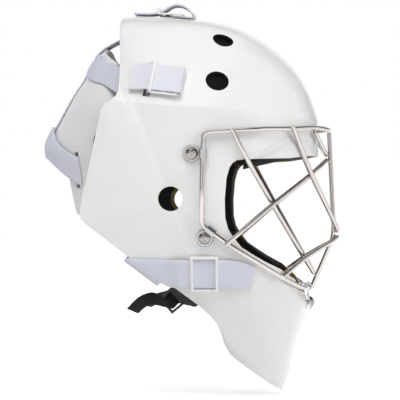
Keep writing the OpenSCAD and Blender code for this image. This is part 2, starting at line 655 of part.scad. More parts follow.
// Back plate: its middle line as [z, x], and how far it stands out at each angle round the head
plate_line = [[-20, -110], [0, -108], [15, -108], [38, -115], [46, -116], [56, -112.5], [66, -106.5],
    [80, -99], [94, -91], [106, -83], [117, -78.5], [126, -72.5], [134, -64]];
plate_side_x = -52;
plate_turn = 75;
plate_top_z = 134;
plate_low_z = 38;
plate_wing_z = -14;
function step_up(a, b, x) = let (s = max(0, min(1, (x - a) / (b - a)))) s * s * (3 - 2 * s);
function plate_point(b, z) =
    let (turn = b * plate_turn, x = lookup(z, plate_line), narrow = 1 - 0.42 * step_up(70, 140, z))
    [(plate_side_x + (x - plate_side_x) * cos(turn)) * reach_k,
        plate_w / 2 * narrow * sin(turn), z * height_k];
function plate_normal(b, z) =
    let (wide = plate_point(b + 0.03, z) - plate_point(b - 0.03, z))
    unit(cross(wide, plate_point(b, z - 2) - plate_point(b, z + 2)));
function plate_lifted(b, z, lift) = plate_point(b, z) + plate_normal(b, z) * lift;
function plate_top(b) = plate_top_z - 16 * b ^ 2;
function plate_low(b) = plate_low_z + (plate_wing_z - plate_low_z) * step_up(0.47, 0.79, abs(b));
// The plate's upper ends, its ears, run on under the shell
function plate_grid(inset, lift, rows, cols, ears = 0) =
    [for (i = [0:rows]) [for (j = [0:cols])
        let (b = (1 - inset) * (2 * j / cols - 1), low = plate_low(b), high = plate_top(b),
            v = inset * 0.8 + (1 - 1.6 * inset) * i / rows, z = lerp(low, high, v))
        plate_lifted(b * (1 + ears * step_up(50, 90, z)), z, lift)]];
plate_ears = 0.3;
module back_plate() {
    color("white") slab(plate_grid(0, 0, 10, 24, plate_ears), plate_grid(0, -plate_t, 10, 24, plate_ears));
}
module back_plate_pad() {
    near = -plate_t - soft_gap - 0.4;
    foam() slab(plate_grid(0.1, near, 8, 18), plate_grid(0.16, near - plate_pad_t, 8, 18));
}
// A band on the plate. Each station is [one edge, other edge, lift], with edges as [b, z]
module plate_band(stations, t = strap_t, across = 3) {
    function row(s, lift) =
        [for (k = [0:across]) let (p = lerp(s[0], s[1], k / across)) plate_lifted(p.x, p.y, s[2] + lift)];
    slab([for (s = stations) row(s, t / 2)], [for (s = stations) row(s, -t / 2)]);
}
spine_half = asin(strap_w / plate_w) / plate_turn;
module spine_strap() {
    color("lavender") plate_band([for (z = [plate_low_z + 1, 46, 56, 66, 80, 94, 106, 117, 123])
        [[-spine_half, z], [spine_half, z], 1.4]]);
}
// Each row is [b, middle height, lift]; the strap passes over the spine strap
cross_rows = [
    [0, 50, 3.6], [0.12, 50, 3.6], [0.26, 48, 3], [0.42, 42, 2.5], [0.58, 34, 2.5], [0.8, 24.5, 2.5]
];
module cross_strap() {
    rows = concat([for (i = [len(cross_rows) - 1:-1:1]) [-1, cross_rows[i]]], [for (r = cross_rows) [1, r]]);
    half = strap_w / 2;
    color("lavender") plate_band([for (r = rows)
        let (b = r[0] * r[1][0], z = r[1][1]) [[b, z - half], [b, z + half], r[1][2]]]);
}

// A band through stations in space, each [one edge, other edge]
module run(stations, t = strap_t) {
    last = len(stations) - 1;
    function along(i) =
        let (p = stations[min(last, i + 1)], q = stations[max(0, i - 1)]) p[0] + p[1] - q[0] - q[1];
    function half(i) = unit(cross(along(i), stations[i][1] - stations[i][0])) * t / 2;
    slab([for (i = [0:last]) [stations[i][0] + half(i), stations[i][1] + half(i)]],
        [for (i = [0:last]) [stations[i][0] - half(i), stations[i][1] - half(i)]]);
}
// Elastics from the shell to the back plate
inner_lift = strap_inner_end - strap_t / 2 - 0.3;
plate_lift = strap_t / 2 + 0.8;
module upper_elastic() {
    half = strap_w / 2 - 1;
    function inside(x, z, drop) =
        [on_side([x, z - half], inner_lift - drop), on_side([x, z + half], inner_lift - drop)];
    // Lower and upper edge on the plate, each as [turn, height]
    function outside(low, high) =
        [plate_lifted(-low[0], low[1], plate_lift), plate_lifted(-high[0], high[1], plate_lift)];
    color("lavender") run([inside(-18, 102, 0), inside(-38, 104, 2), outside([1.04, 98], [1.04, 118]),
        outside([0.85, 101], [0.9, 121.5]), outside([0.62, 104.5], [0.73, 124.5]),
        outside([0.38, 108.5], [0.56, 126.5])]);
}
module lower_elastic() {
    color("lavender") run([
        [on_side([-9.5, -65], inner_lift - 0.9), on_side([-37, -44.5], inner_lift - 0.9)],
        [on_side([-24, -50], inner_lift - 2), on_side([-47, -31], inner_lift - 2)],
        [plate_lifted(-1.02, -13, plate_lift), plate_lifted(-1.02, 9, plate_lift)],
        [plate_lifted(-0.9, -10, plate_lift), plate_lifted(-0.9, 12, plate_lift)]
    ]);
}
module crown_elastic() {
    hand = [[crown_strap_x + crown_slot_u + 1, shell_h + strap_inner_end], [-25, shell_h - 8],
        [-40, shell_h - 13], [-53.5, shell_h - 20]];
    laid = [for (z = [plate_top_z, plate_top_z - 8]) plate_lifted(0, z, plate_lift)];
    color("lavender") rotate([90, 0, 0]) linear_extrude(height = strap_w, center = true)
        polygon(ribbon(concat([for (p = hand) [p.x * reach_k, p.y]], [for (p = laid) [p.x, p.z]]), strap_t));
}

// Chin sling: a cup on webbing, which a ring buckle joins to a tab at each side of the jaw.
// The buckle hangs down and back from the tab.
buckle_at = stretched([-1.5, -69, -88.2]);
buckle_slope = -40;
buckle_l = 14;
buckle_bar = 2.2;
cup_gap = 30;
cup_t = 3;
cup_low = -56;
cup_high = -43;
cup_side = 2.3;
module chin_cup() {
    color([0.08, 0.08, 0.08]) middle_pad(cup_low, cup_high, cup_side, cup_gap, cup_t, 4, 10, 0.04);
}
cup_pad_t = 5;
module chin_cup_pad() {
    near = cup_gap + cup_t + 0.3;
    foam() middle_pad(cup_low + 1, cup_high - 1, cup_side + 0.04, near, cup_pad_t, 4, 10, 0.08);
}
chin_web_t = 1.3;
buckle_along = [cos(buckle_slope), 0, -sin(buckle_slope)];
buckle_across = [-sin(buckle_slope), 0, -cos(buckle_slope)];
// Each row is [middle of the webbing, direction across it], from the cup back through the buckle
function on_cup(t) =
    let (mid = (cup_low + cup_high) / 2, lift = chin_web_t / 2 + 0.7 - cup_gap)
    [lifted(mid, t, lift), unit(lifted(mid - 2, t, lift) - lifted(mid + 2, t, lift))];
// sag is how far the free end's arch hangs down
function strap_rows(sag) = [
    on_cup(cup_side + 0.2), on_cup(cup_side),
    [stretched([50, -43, -98]), [-0.3, 0.5, -0.8]], [stretched([28, -56, -88.5]), [-0.2, 0.6, -0.77]],
    [stretched([11, -63, -87.5]), [0.2, 0.45, -0.85]],
    [buckle_at + buckle_along * 4 + [0, 2.3, 0], buckle_across],
    [buckle_at - buckle_along * 3 + [0, -2.3, 0], buckle_across],
    [stretched([-9, -72, -88.4 - sag * 0.3]), [0.45, -0.1, -0.88]],
    [stretched([-15.5, -71.5, -86.4 - sag * 0.9]), [0.3, -0.3, -0.9]],
    [stretched([-21.5, -71, -87 - sag]), [0.45, -0.4, -0.78]],
    [stretched([-28, -70, -90.2 - sag * 0.8]), [0.62, -0.5, -0.6]],
    [stretched([-35.4, -68, -97.3 - sag * 0.4]), [0.85, -0.45, -0.3]]
];
module chin_strap(sag = 0) {
    half = chin_web_w / 2;
    color([0.1, 0.1, 0.11])
        run([for (r = strap_rows(sag)) [r[0] - r[1] * half, r[0] + r[1] * half]], chin_web_t);
}
module chin_buckle() {
    window = chin_web_w + 2;
    color([0.05, 0.05, 0.05]) translate(buckle_at) rotate([0, buckle_slope, 0]) difference() {
        cube([buckle_l, buckle_bar, window + 2 * buckle_bar], center = true);
        cube([buckle_l - 2 * buckle_bar, 2 * buckle_bar, window], center = true);
    }
}
tab_t = 1.2;
module chin_anchor() {
    lift = -shell_wall - tab_t / 2 - 1.2;
    end = buckle_at + buckle_along * (buckle_l - buckle_bar) / 2 - [0, (buckle_bar + tab_t) / 2 + 0.3, 0];
    color([0.08, 0.08, 0.08]) run([
        [on_side([-6, -62], lift), on_side([28, -74], lift)],
        [on_side([-2, -74], lift), on_side([22, -87], lift)],
        [stretched([-1.2, -77.5, -78.5]), stretched([20, -72.5, -93])],
        [end - buckle_across * chin_web_w / 2, end + buckle_across * chin_web_w / 2]
    ], tab_t);
}

shell();
cage_rim();
cage_centre_bar();
cage_long_bar();
cage_upper_bar();
cage_cheek_bar();
cage_lower_bar();
cage_brow_bar();
upper_clips();
lower_clips();
chin_clip();
clip_screws();
clip_washers();
clip_nuts();
brow_pad();
crown_pad();
temple_pad();  // temple_pad_right
left_of() temple_pad();  // temple_pad_left
ear_pad();  // ear_pad_right
left_of() ear_pad();  // ear_pad_left
cheek_pad();  // cheek_pad_right
left_of() cheek_pad();  // cheek_pad_left
jaw_pad();  // jaw_pad_right
left_of() jaw_pad();  // jaw_pad_left
chin_pad();
upper_strap();  // upper_strap_right
left_of() upper_strap();  // upper_strap_left
lower_strap();  // lower_strap_right
left_of() lower_strap();  // lower_strap_left
crown_strap();
upper_slide();  // upper_slide_right
left_of() upper_slide();  // upper_slide_left
lower_slide();  // lower_slide_right
left_of() lower_slide();  // lower_slide_left
crown_slide();
upper_elastic();  // upper_elastic_right
left_of() upper_elastic();  // upper_elastic_left
lower_elastic();  // lower_elastic_right
left_of() lower_elastic();  // lower_elastic_left
crown_elastic();
back_plate();
back_plate_pad();
spine_strap();
cross_strap();
chin_cup();
chin_cup_pad();
chin_strap();  // chin_strap_right
left_of() chin_strap(6);  // chin_strap_left
chin_buckle();  // chin_buckle_right
left_of() chin_buckle();  // chin_buckle_left
chin_anchor();  // chin_anchor_right
left_of() chin_anchor();  // chin_anchor_left
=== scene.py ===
"""Looks of a hockey goalie mask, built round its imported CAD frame.

The frame is in metres: +X is the way the face looks, +Y is the wearer's left and +Z is up. The
origin lies midway between the ear holes. Sizes here are in millimetres, as in the part's source,
and turn to metres when a mesh is made.
"""

import json
import logging
import math
from dataclasses import dataclass
from enum import Enum
from typing import Callable, Iterable, Sequence

import bpy
from mathutils import Matrix, Vector


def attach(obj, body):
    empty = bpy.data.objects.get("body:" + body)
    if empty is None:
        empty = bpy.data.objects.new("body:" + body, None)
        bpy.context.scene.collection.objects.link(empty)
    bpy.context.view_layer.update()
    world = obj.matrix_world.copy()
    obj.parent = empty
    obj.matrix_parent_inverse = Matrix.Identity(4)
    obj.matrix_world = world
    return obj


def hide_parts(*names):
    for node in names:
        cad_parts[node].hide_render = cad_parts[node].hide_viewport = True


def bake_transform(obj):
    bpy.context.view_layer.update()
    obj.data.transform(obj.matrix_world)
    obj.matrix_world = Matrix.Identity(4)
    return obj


log = logging.getLogger("mask")
MM = 0.001
# In millimetres
MERGE_GAP = 0.02
BUMP_DEPTH = 0.4
PRISM_HALF = 160
WALL = 4.0
STRAP_WIDE = 25.0
STRAP_THICK = 1.4
# In degrees
SMOOTH_ANGLE = 40
# Scale of a wave texture whose bands lie one metre apart, and of the patches that mix two tones
WAVE_SCALE = 0.314
PATCH_SCALE = 28.0
COAT_ROUGHNESS = 0.12
# Shine of foam and webbing
CLOTH_SHEEN = 0.08
CLOTH_SPECULAR = 0.25
Piece = bpy.types.Object
Tree = bpy.types.NodeTree
Socket = bpy.types.NodeSocket
Point = tuple[float, float]
Grid = list[list[Vector]]


# Finishes

class Pattern(Enum):
    """What a finish's surface is made of."""

    GEL = "moulded gel coat"
    LAMINATE = "woven laminate"
    METAL = "drawn wire"
    SHEET = "brushed sheet"
    FOAM = "lined foam"
    WEBBING = "woven webbing"
    MOULDED = "moulded plastic"


@dataclass(frozen=True)
class Finish:
    """One finish, with its two tones and its shader values."""

    name: str
    slot: str
    pattern: Pattern
    tone: str
    second: str
    roughness: float
    metallic: float = 0.0
    coat: float = 0.0
    bump: float = 0.2
    pitch_mm: float = 1.0
    alpha: float = 1.0
    rib_axis: str = "X"


# White polyester gel coat, sprayed in a mould: an even white with a soft sheen and a faint orange peel
GEL_COAT = Finish("gel_coat_white", "shell_white", Pattern.GEL, "#F3F3F2", "#EBEBEA", 0.26,
                  coat=0.35, bump=0.04, pitch_mm=9)
# Cut walls of the vents, coloured black as painted shade in the hollow, to match the foam behind them
VENT_WALL_SHADE = Finish("vent_wall_painted_shade", "shell_white", Pattern.FOAM, "#101011", "#191919", 0.7,
              bump=0.1, pitch_mm=2)
# Glass and aramid cloth in clear resin: amber, with the cloth's weave showing through
LAMINATE = Finish("aramid_laminate", "shell_white", Pattern.LAMINATE, "#B99B5F", "#8A6A33", 0.45,
                  bump=0.25, pitch_mm=2.4)
# Polished stainless wire: grey mirror with fine lengthwise waves
WIRE = Finish("stainless_wire", "cage_chrome", Pattern.METAL, "#CFC9C6", "#C0BAB7", 0.08,
              metallic=1, bump=0.02, pitch_mm=6)
# Bent stainless sheet, tumbled after it was cut
CLIP = Finish("stainless_sheet", "clip_steel", Pattern.SHEET, "#BDBDBE", "#A5A5A8", 0.2,
              metallic=1, bump=0.06, pitch_mm=0.8)
# Chromed screw heads
SCREW = Finish("chromed_screw", "screw_chrome", Pattern.METAL, "#A9A5A2", "#97938F", 0.1,
               metallic=1, bump=0.02, pitch_mm=3)
# Clear moulded washers, a little milky
WASHER = Finish("clear_nylon", "washer_clear", Pattern.MOULDED, "#F3F4F5", "#EAECEE", 0.18,
                bump=0.03, pitch_mm=4, alpha=0.35)
# Nitrile foam under a thin black lining: dull, with a fine grain
FOAM = Finish("nitrile_foam", "foam_black", Pattern.FOAM, "#0C0C0D", "#161618", 0.85,
              bump=0.35, pitch_mm=1.2)
# Acetal slides, moulded white
SLIDE = Finish("acetal_white", "slide_white", Pattern.MOULDED, "#F2F3F5", "#E8E9EC", 0.28,
               bump=0.03, pitch_mm=3)
# Polyethylene back plate, moulded with a satin skin
PLATE = Finish("polyethylene_plate", "plate_white", Pattern.MOULDED, "#EBEBEC", "#DEDEE2", 0.42,
               bump=0.08, pitch_mm=2)
# Black polyethylene chin cup
CUP = Finish("polyethylene_black", "cup_black", Pattern.MOULDED, "#151516", "#1D1D1F", 0.4,
             bump=0.08, pitch_mm=2)
# Flat black polypropylene webbing
WEBBING_BLACK = Finish("polypropylene_webbing", "webbing_black", Pattern.WEBBING, "#1A1A1C", "#2C2C30",
                       0.6, bump=0.4, pitch_mm=1.2)
# Glossy black acetal buckles
BUCKLE = Finish("acetal_black", "buckle_black", Pattern.MOULDED, "#101011", "#1A1A1C", 0.16,
                bump=0.03, pitch_mm=3)


def elastic(name: str, tone: str, second: str, rib_axis: str = "X") -> Finish:
    """Gives knitted elastic webbing: pale grey lavender, dull, with ribs across its length."""
    return Finish("elastic_webbing_" + name, "webbing_lavender", Pattern.WEBBING, tone, second, 0.75,
                  bump=0.35, pitch_mm=1.3, rib_axis=rib_axis)


# One elastic webbing in five copies whose tones differ only as painted light and shade: lightest on the
# upper and crown straps, darker on the lower straps and the back plate's straps, and darkest, as painted
# shade, on the elastics behind the shell
WEBBING_X_PAINTED_LIT = elastic("x", "#EDEEF5", "#E1E2EB")
WEBBING_Y_PAINTED_SHADE = elastic("y", "#E4E5F1", "#D6D8E8", "Y")
WEBBING_Z_PAINTED_SHADE = elastic("z", "#E4E5F0", "#D6D8E6", "Z")
WEBBING_LOW_PAINTED_SHADE = elastic("low", "#E8E9F5", "#DADCEA")
WEBBING_BACK_PAINTED_SHADE = elastic("back", "#DADCEA", "#CFD1E0")


def linear(code: str) -> tuple[float, float, float, float]:
    """Turns an sRGB hex colour into a linear one.

    Args:
        code: the colour as #RRGGBB.

    Returns:
        Red, green, blue and an alpha of 1.
    """
    parts = [int(code[i:i + 2], 16) / 255 for i in (1, 3, 5)]
    red, green, blue = [p / 12.92 if p <= 0.04045 else ((p + 0.055) / 1.055) ** 2.4 for p in parts]
    return red, green, blue, 1.0


def add_node(tree: Tree, kind: str, links: dict | None = None, **settings: object) -> bpy.types.Node:
    """Adds a node to a tree.

    Args:
        tree: the node tree.
        kind: the node's type name.
        links: input name or number, to an output socket or a plain value.
        settings: attributes of the node.

    Returns:
        The new node.
    """
    node = tree.nodes.new(kind)
    for key, value in settings.items():
        setattr(node, key, value)
    for key, value in (links or {}).items():
        if isinstance(value, Socket):
            tree.links.new(value, node.inputs[key])
        else:
            node.inputs[key].default_value = value
    return node


def clean_tree(owner: bpy.types.Material | bpy.types.World) -> Tree:
    """Gives the emptied node tree of a new material or world."""
    owner.use_nodes = True
    owner.node_tree.nodes.clear()
    return owner.node_tree


class Dresser:
    """Makes each finish's material once and puts it on pieces."""

    def __init__(self) -> None:
        """Starts with no materials made."""
        self.made: dict[str, bpy.types.Material] = {}

    def material(self, finish: Finish) -> bpy.types.Material:
        """Gives a finish's material.

        Args:
            finish: the finish.

        Returns:
            Its material, made on the first call.
        """
        if finish.name not in self.made:
            self.made[finish.name] = self.make(finish)
        return self.made[finish.name]

    def make(self, finish: Finish) -> bpy.types.Material:
        """Builds a finish's node material.

        Args:
            finish: the finish.

        Returns:
            The material.
        """
        material = bpy.data.materials.new(finish.name)
        tree = clean_tree(material)
        place = add_node(tree, "ShaderNodeTexCoord").outputs["Object"]
        tone, height = self.pattern(tree, finish, place)
        bump = add_node(tree, "ShaderNodeBump", {
            "Height": height, "Strength": finish.bump, "Distance": BUMP_DEPTH * MM})
        values = {
            "Base Color": tone, "Roughness": finish.roughness, "Metallic": finish.metallic,
            "Coat Weight": finish.coat, "Coat Roughness": COAT_ROUGHNESS, "Alpha": finish.alpha,
            "Normal": bump.outputs[0]}
        if finish.pattern in (Pattern.FOAM, Pattern.WEBBING):
            values |= {"Sheen Weight": CLOTH_SHEEN, "Specular IOR Level": CLOTH_SPECULAR}
        shader = add_node(tree, "ShaderNodeBsdfPrincipled", values)
        add_node(tree, "ShaderNodeOutputMaterial", {"Surface": shader.outputs[0]})
        return material

    def pattern(self, tree: Tree, finish: Finish, place: Socket) -> tuple[Socket, Socket]:
        """Adds the nodes of a finish's pattern.

        Args:
            tree: the material's tree.
            finish: the finish.
            place: Object coordinates.

        Returns:
            The colour socket and the height socket.
        """
        cycles = 1 / (finish.pitch_mm * MM)
        grain = add_node(tree, "ShaderNodeTexNoise", {
            "Vector": place, "Scale": cycles, "Detail": 3.0, "Roughness": 0.55})
        height = grain.outputs[0]
        if finish.pattern == Pattern.WEBBING:
            ribs = add_node(tree, "ShaderNodeTexWave", {
                "Vector": place, "Scale": cycles * WAVE_SCALE, "Distortion": 0.6, "Detail": 1.0,
                "Detail Scale": 2.0}, wave_type="BANDS", bands_direction=finish.rib_axis)
            height = add_node(tree, "ShaderNodeMath", {0: ribs.outputs[1], 1: grain.outputs[0]},
                              operation="ADD").outputs[0]
        if finish.pattern == Pattern.LAMINATE:
            warp, weft = [add_node(tree, "ShaderNodeTexWave", {
                "Vector": place, "Scale": cycles * WAVE_SCALE, "Distortion": 1.0},
                wave_type="BANDS", bands_direction=axis) for axis in "XZ"]
            height = add_node(tree, "ShaderNodeMath", {0: warp.outputs[1], 1: weft.outputs[1]},
                              operation="MULTIPLY").outputs[0]
        patch = add_node(tree, "ShaderNodeTexNoise", {
            "Vector": place, "Scale": PATCH_SCALE, "Detail": 2.0})
        share = add_node(tree, "ShaderNodeMath", {0: patch.outputs[0], 1: height}, operation="MULTIPLY")
        tone = add_node(tree, "ShaderNodeMix", {
            0: share.outputs[0], 6: linear(finish.tone), 7: linear(finish.second)}, data_type="RGBA")
        return tone.outputs[2], height

    def dress(self, piece: Piece, *finishes: Finish) -> None:
        """Puts finishes on a new piece.

        Args:
            piece: the piece.
            finishes: its finishes, in the order of its face indices.
        """
        slots = piece.data.materials
        while len(slots) < len(finishes):
            slots.append(None)
        while len(slots) > len(finishes):
            slots.pop()
        for number, finish in enumerate(finishes):
            slots[number] = self.material(finish)

    def dress_node(self, node: str, finish: Finish) -> None:
        """Puts a finish on a CAD node that stays as it is.

        Args:
            node: the node's name.
            finish: its finish.
        """
        for slot in FRAME["nodes"][node].material_slots:
            slot.material = self.material(finish)


# Mesh tools

def only(piece: Piece) -> None:
    """Selects one piece alone and makes it active."""
    bpy.ops.object.select_all(action="DESELECT")
    piece.select_set(True)
    bpy.context.view_layer.objects.active = piece


def modify(piece: Piece, kind: str, **settings: object) -> None:
    """Adds a modifier and applies it.

    Args:
        piece: the piece.
        kind: the modifier's type.
        settings: its settings.
    """
    only(piece)
    modifier = piece.modifiers.new(kind.lower(), kind)
    for key, value in settings.items():
        setattr(modifier, key, value)
    bpy.ops.object.modifier_apply(modifier=modifier.name)


def weld(piece: Piece, outwards: bool = True) -> None:
    """Merges doubled points and turns the faces outwards.

    Args:
        piece: the piece.
        outwards: whether to turn the faces.
    """
    only(piece)
    bpy.ops.object.mode_set(mode="EDIT")
    bpy.ops.mesh.select_all(action="SELECT")
    bpy.ops.mesh.remove_doubles(threshold=MERGE_GAP * MM)
    if outwards:
        bpy.ops.mesh.normals_make_consistent(inside=False)
    bpy.ops.object.mode_set(mode="OBJECT")


def soften(piece: Piece, width_mm: float, segments: int = 2, angle: float = 50) -> None:
    """Rounds a piece's sharp edges and shades it smooth.

    Args:
        piece: the piece.
        width_mm: width of the rounding; 0 for none.
        segments: facets across the rounding.
        angle: sharpest angle that stays unrounded, in degrees.
    """
    if width_mm > 0:
        modify(piece, "BEVEL", width=width_mm * MM, segments=segments, limit_method="ANGLE",
               angle_limit=math.radians(angle), use_clamp_overlap=True)
    only(piece)
    bpy.ops.object.shade_smooth_by_angle(angle=math.radians(SMOOTH_ANGLE))


def add_object(name: str, data: bpy.types.ID) -> Piece:
    """Puts a new object in the scene."""
    piece = bpy.data.objects.new(name, data)
    bpy.context.scene.collection.objects.link(piece)
    return piece


def make_piece(name: str, points: Iterable[Vector], faces: Sequence[Sequence[int]]) -> Piece:
    """Makes a mesh piece from points in millimetres.

    Args:
        name: the piece's name.
        points: its points.
        faces: its faces.

    Returns:
        The piece.
    """
    mesh = bpy.data.meshes.new(name)
    mesh.from_pydata([p * MM for p in points], [], faces)
    mesh.update()
    return add_object(name, mesh)


def grid_of(rows: int, cols: int, at: Callable[[int, int], Vector]) -> Grid:
    """Gives a grid of points with so many steps each way."""
    return [[at(i, j) for j in range(cols + 1)] for i in range(rows + 1)]


def slab(name: str, top: Grid, bottom: Grid) -> Piece:
    """Closes the space between two grids of points.

    Args:
        name: the piece's name.
        top: one grid.
        bottom: the grid under it, with as many rows and columns.

    Returns:
        The closed piece.
    """
    n, m = len(top), len(top[0])
    base = n * m
    faces: list[list[int]] = []
    for i in range(n - 1):
        for j in range(m - 1):
            a, b = i * m + j, (i + 1) * m + j
            faces += [[a, b, b + 1, a + 1], [base + a, base + a + 1, base + b + 1, base + b]]
    rim = ([(0, j) for j in range(m - 1)] + [(i, m - 1) for i in range(n - 1)]
           + [(n - 1, j) for j in range(m - 1, 0, -1)] + [(i, 0) for i in range(n - 1, 0, -1)])
    for k, (i, j) in enumerate(rim):
        u, v = rim[(k + 1) % len(rim)]
        a, b = i * m + j, u * m + v
        faces.append([a, b, base + b, base + a])
    piece = make_piece(name, [p for row in top for p in row] + [p for row in bottom for p in row], faces)
    weld(piece)
    return piece


def sheet(name: str, grid: Grid, thick: float) -> Piece:
    """Gives a grid of points a thickness, half to each side.

    Args:
        name: the piece's name.
        grid: the middle surface.
        thick: the thickness in millimetres.

    Returns:
        The closed piece.
    """
    n, m = len(grid) - 1, len(grid[0]) - 1

    def half(i: int, j: int) -> Vector:
        """Gives the way from the middle surface to the top."""
        length = grid[min(n, i + 1)][j] - grid[max(0, i - 1)][j]
        wide = grid[i][min(m, j + 1)] - grid[i][max(0, j - 1)]
        return length.cross(wide).normalized() * thick / 2

    halves = grid_of(n, m, half)
    return slab(name, grid_of(n, m, lambda i, j: grid[i][j] + halves[i][j]),
                grid_of(n, m, lambda i, j: grid[i][j] - halves[i][j]))


def curve_through(points: Sequence[Vector], steps: int, closed: bool = False) -> list[Vector]:
    """Runs a smooth path through points.

    Args:
        points: the points, of any dimension.
        steps: steps from each point to the next.
        closed: whether the path closes on itself.

    Returns:
        The path's points.
    """
    count = len(points)
    path: list[Vector] = []
    for i in range(count if closed else count - 1):
        a = points[(i - 1) % count] if closed else points[max(0, i - 1)]
        b, c = points[i], points[(i + 1) % count]
        d = points[(i + 2) % count] if closed else points[min(count - 1, i + 2)]
        for k in range(steps):
            s = k / steps
            path.append((b * 2 + (c - a) * s + (a * 2 - b * 5 + c * 4 - d) * s ** 2
                         + (b * 3 - a - c * 3 + d) * s ** 3) / 2)
    return path if closed else path + [points[-1]]


def along(line: Sequence[Point], share: float) -> Vector:
    """Finds the point at a share of a line's length.

    Args:
        line: the line's points.
        share: how far along, from 0 to 1.

    Returns:
        The point.
    """
    points = [Vector(p) for p in line]
    lengths = [(q - p).length for p, q in zip(points, points[1:])]
    left = share * sum(lengths)
    for p, q, length in zip(points, points[1:], lengths):
        if left <= length:
            return p.lerp(q, max(0.0, left / length))
        left -= length
    return points[-1]


def ribbon(name: str, stations: Sequence[tuple[Vector, Vector]], thick: float, steps: int = 4,
           columns: int = 4) -> Piece:
    """Makes a strap through pairs of edge points.

    Args:
        name: the piece's name.
        stations: one edge point and the other, along the strap.
        thick: its thickness in millimetres.
        steps: steps from each station to the next.
        columns: strips across the strap.

    Returns:
        The strap, with soft edges.
    """
    one = curve_through([s[0] for s in stations], steps)
    other = curve_through([s[1] for s in stations], steps)
    grid = [[a.lerp(b, k / columns) for k in range(columns + 1)] for a, b in zip(one, other)]
    piece = sheet(name, grid, thick)
    soften(piece, thick * 0.3)
    return piece


def laid(name: str, rows: Grid, thick: float) -> Piece:
    """Makes a strap through rows of points that each run from one edge to the other.

    Args:
        name: the piece's name.
        rows: the rows, along the strap.
        thick: its thickness in millimetres.

    Returns:
        The strap, with soft edges.
    """
    lines = [curve_through([row[k] for row in rows], 3) for k in range(len(rows[0]))]
    piece = sheet(name, [[line[i] for line in lines] for i in range(len(lines[0]))], thick)
    soften(piece, 0.4)
    return piece


def other_side(p: Vector) -> Vector:
    """Gives a point's mirror image on the other side of the mask."""
    return Vector((p.x, -p.y, p.z))


def edges(middle: Vector, across: Vector, wide: float) -> tuple[Vector, Vector]:
    """Gives the two edge points of a strap beside a middle point."""
    return middle - across * wide / 2, middle + across * wide / 2


def mirrored(piece: Piece, name: str) -> Piece:
    """Copies a right piece to the left.

    Args:
        piece: the right piece.
        name: the left piece's name.

    Returns:
        The left piece, with its own mesh.
    """
    twin = piece.copy()
    twin.data = piece.data.copy()
    twin.name = twin.data.name = name
    bpy.context.scene.collection.objects.link(twin)
    twin.data.transform(Matrix.Scale(-1, 4, (0, 1, 0)))
    twin.data.flip_normals()
    return twin


def cut(piece: Piece, tool: Piece, how: str = "DIFFERENCE") -> None:
    """Cuts a piece with a tool, which is then removed.

    Args:
        piece: the piece.
        tool: the closed tool.
        how: DIFFERENCE or INTERSECT.
    """
    modify(piece, "BOOLEAN", object=tool, operation=how, solver="EXACT")
    bpy.data.objects.remove(tool, do_unlink=True)


def rod(at: Vector, axis: Vector, diameter: float, length: float) -> Piece:
    """Adds a round tool for a hole.

    Args:
        at: its middle in millimetres.
        axis: its direction.
        diameter: its diameter in millimetres.
        length: its length in millimetres.

    Returns:
        The tool, with its place in its mesh.
    """
    bpy.ops.mesh.primitive_cylinder_add(
        vertices=64, radius=diameter / 2 * MM, depth=length * MM, location=at * MM,
        rotation=axis.to_track_quat("Z", "Y").to_euler())
    tool = bpy.context.active_object
    bpy.ops.object.transform_apply(location=True, rotation=True, scale=True)
    return tool


def block(frame: Sequence[Vector], size: Vector) -> Piece:
    """Adds a box tool in a frame.

    Args:
        frame: the origin and the three axes.
        size: its size along them, in millimetres.

    Returns:
        The tool, with its place in its mesh.
    """
    origin, u, v, n = frame
    points = [origin + u * (size.x * a) + v * (size.y * b) + n * (size.z * c)
              for a in (-0.5, 0.5) for b in (-0.5, 0.5) for c in (-0.5, 0.5)]
    tool = make_piece("tool", points, [
        [0, 1, 3, 2], [4, 6, 7, 5], [0, 4, 5, 1], [2, 3, 7, 6], [0, 2, 6, 4], [1, 5, 7, 3]])
    weld(tool)
    return tool


def joined(tools: Sequence[Piece]) -> Piece:
    """Joins tools that lie apart into one.

    Args:
        tools: the tools.

    Returns:
        The joined tool.
    """
    only(tools[0])
    for tool in tools[1:]:
        tool.select_set(True)
    bpy.ops.object.join()
    return tools[0]


def side_prism(outline: Sequence[Point]) -> Piece:
    """Draws a side-view outline through the whole mask.

    Args:
        outline: the outline's points as x and z, in millimetres.

    Returns:
        The prism.
    """
    count = len(outline)
    points = [Vector((x, y, z)) for y in (-PRISM_HALF, PRISM_HALF) for x, z in outline]
    faces = [list(range(count)), list(range(2 * count - 1, count - 1, -1))]
    faces += [[i, (i + 1) % count, count + (i + 1) % count, count + i] for i in range(count)]
    tool = make_piece("tool", points, faces)
    weld(tool)
    return tool


# The shell's surface, as the part's source has it. A rib is an angle about the ear axis, then a
# radius and a half width for each of its four corners

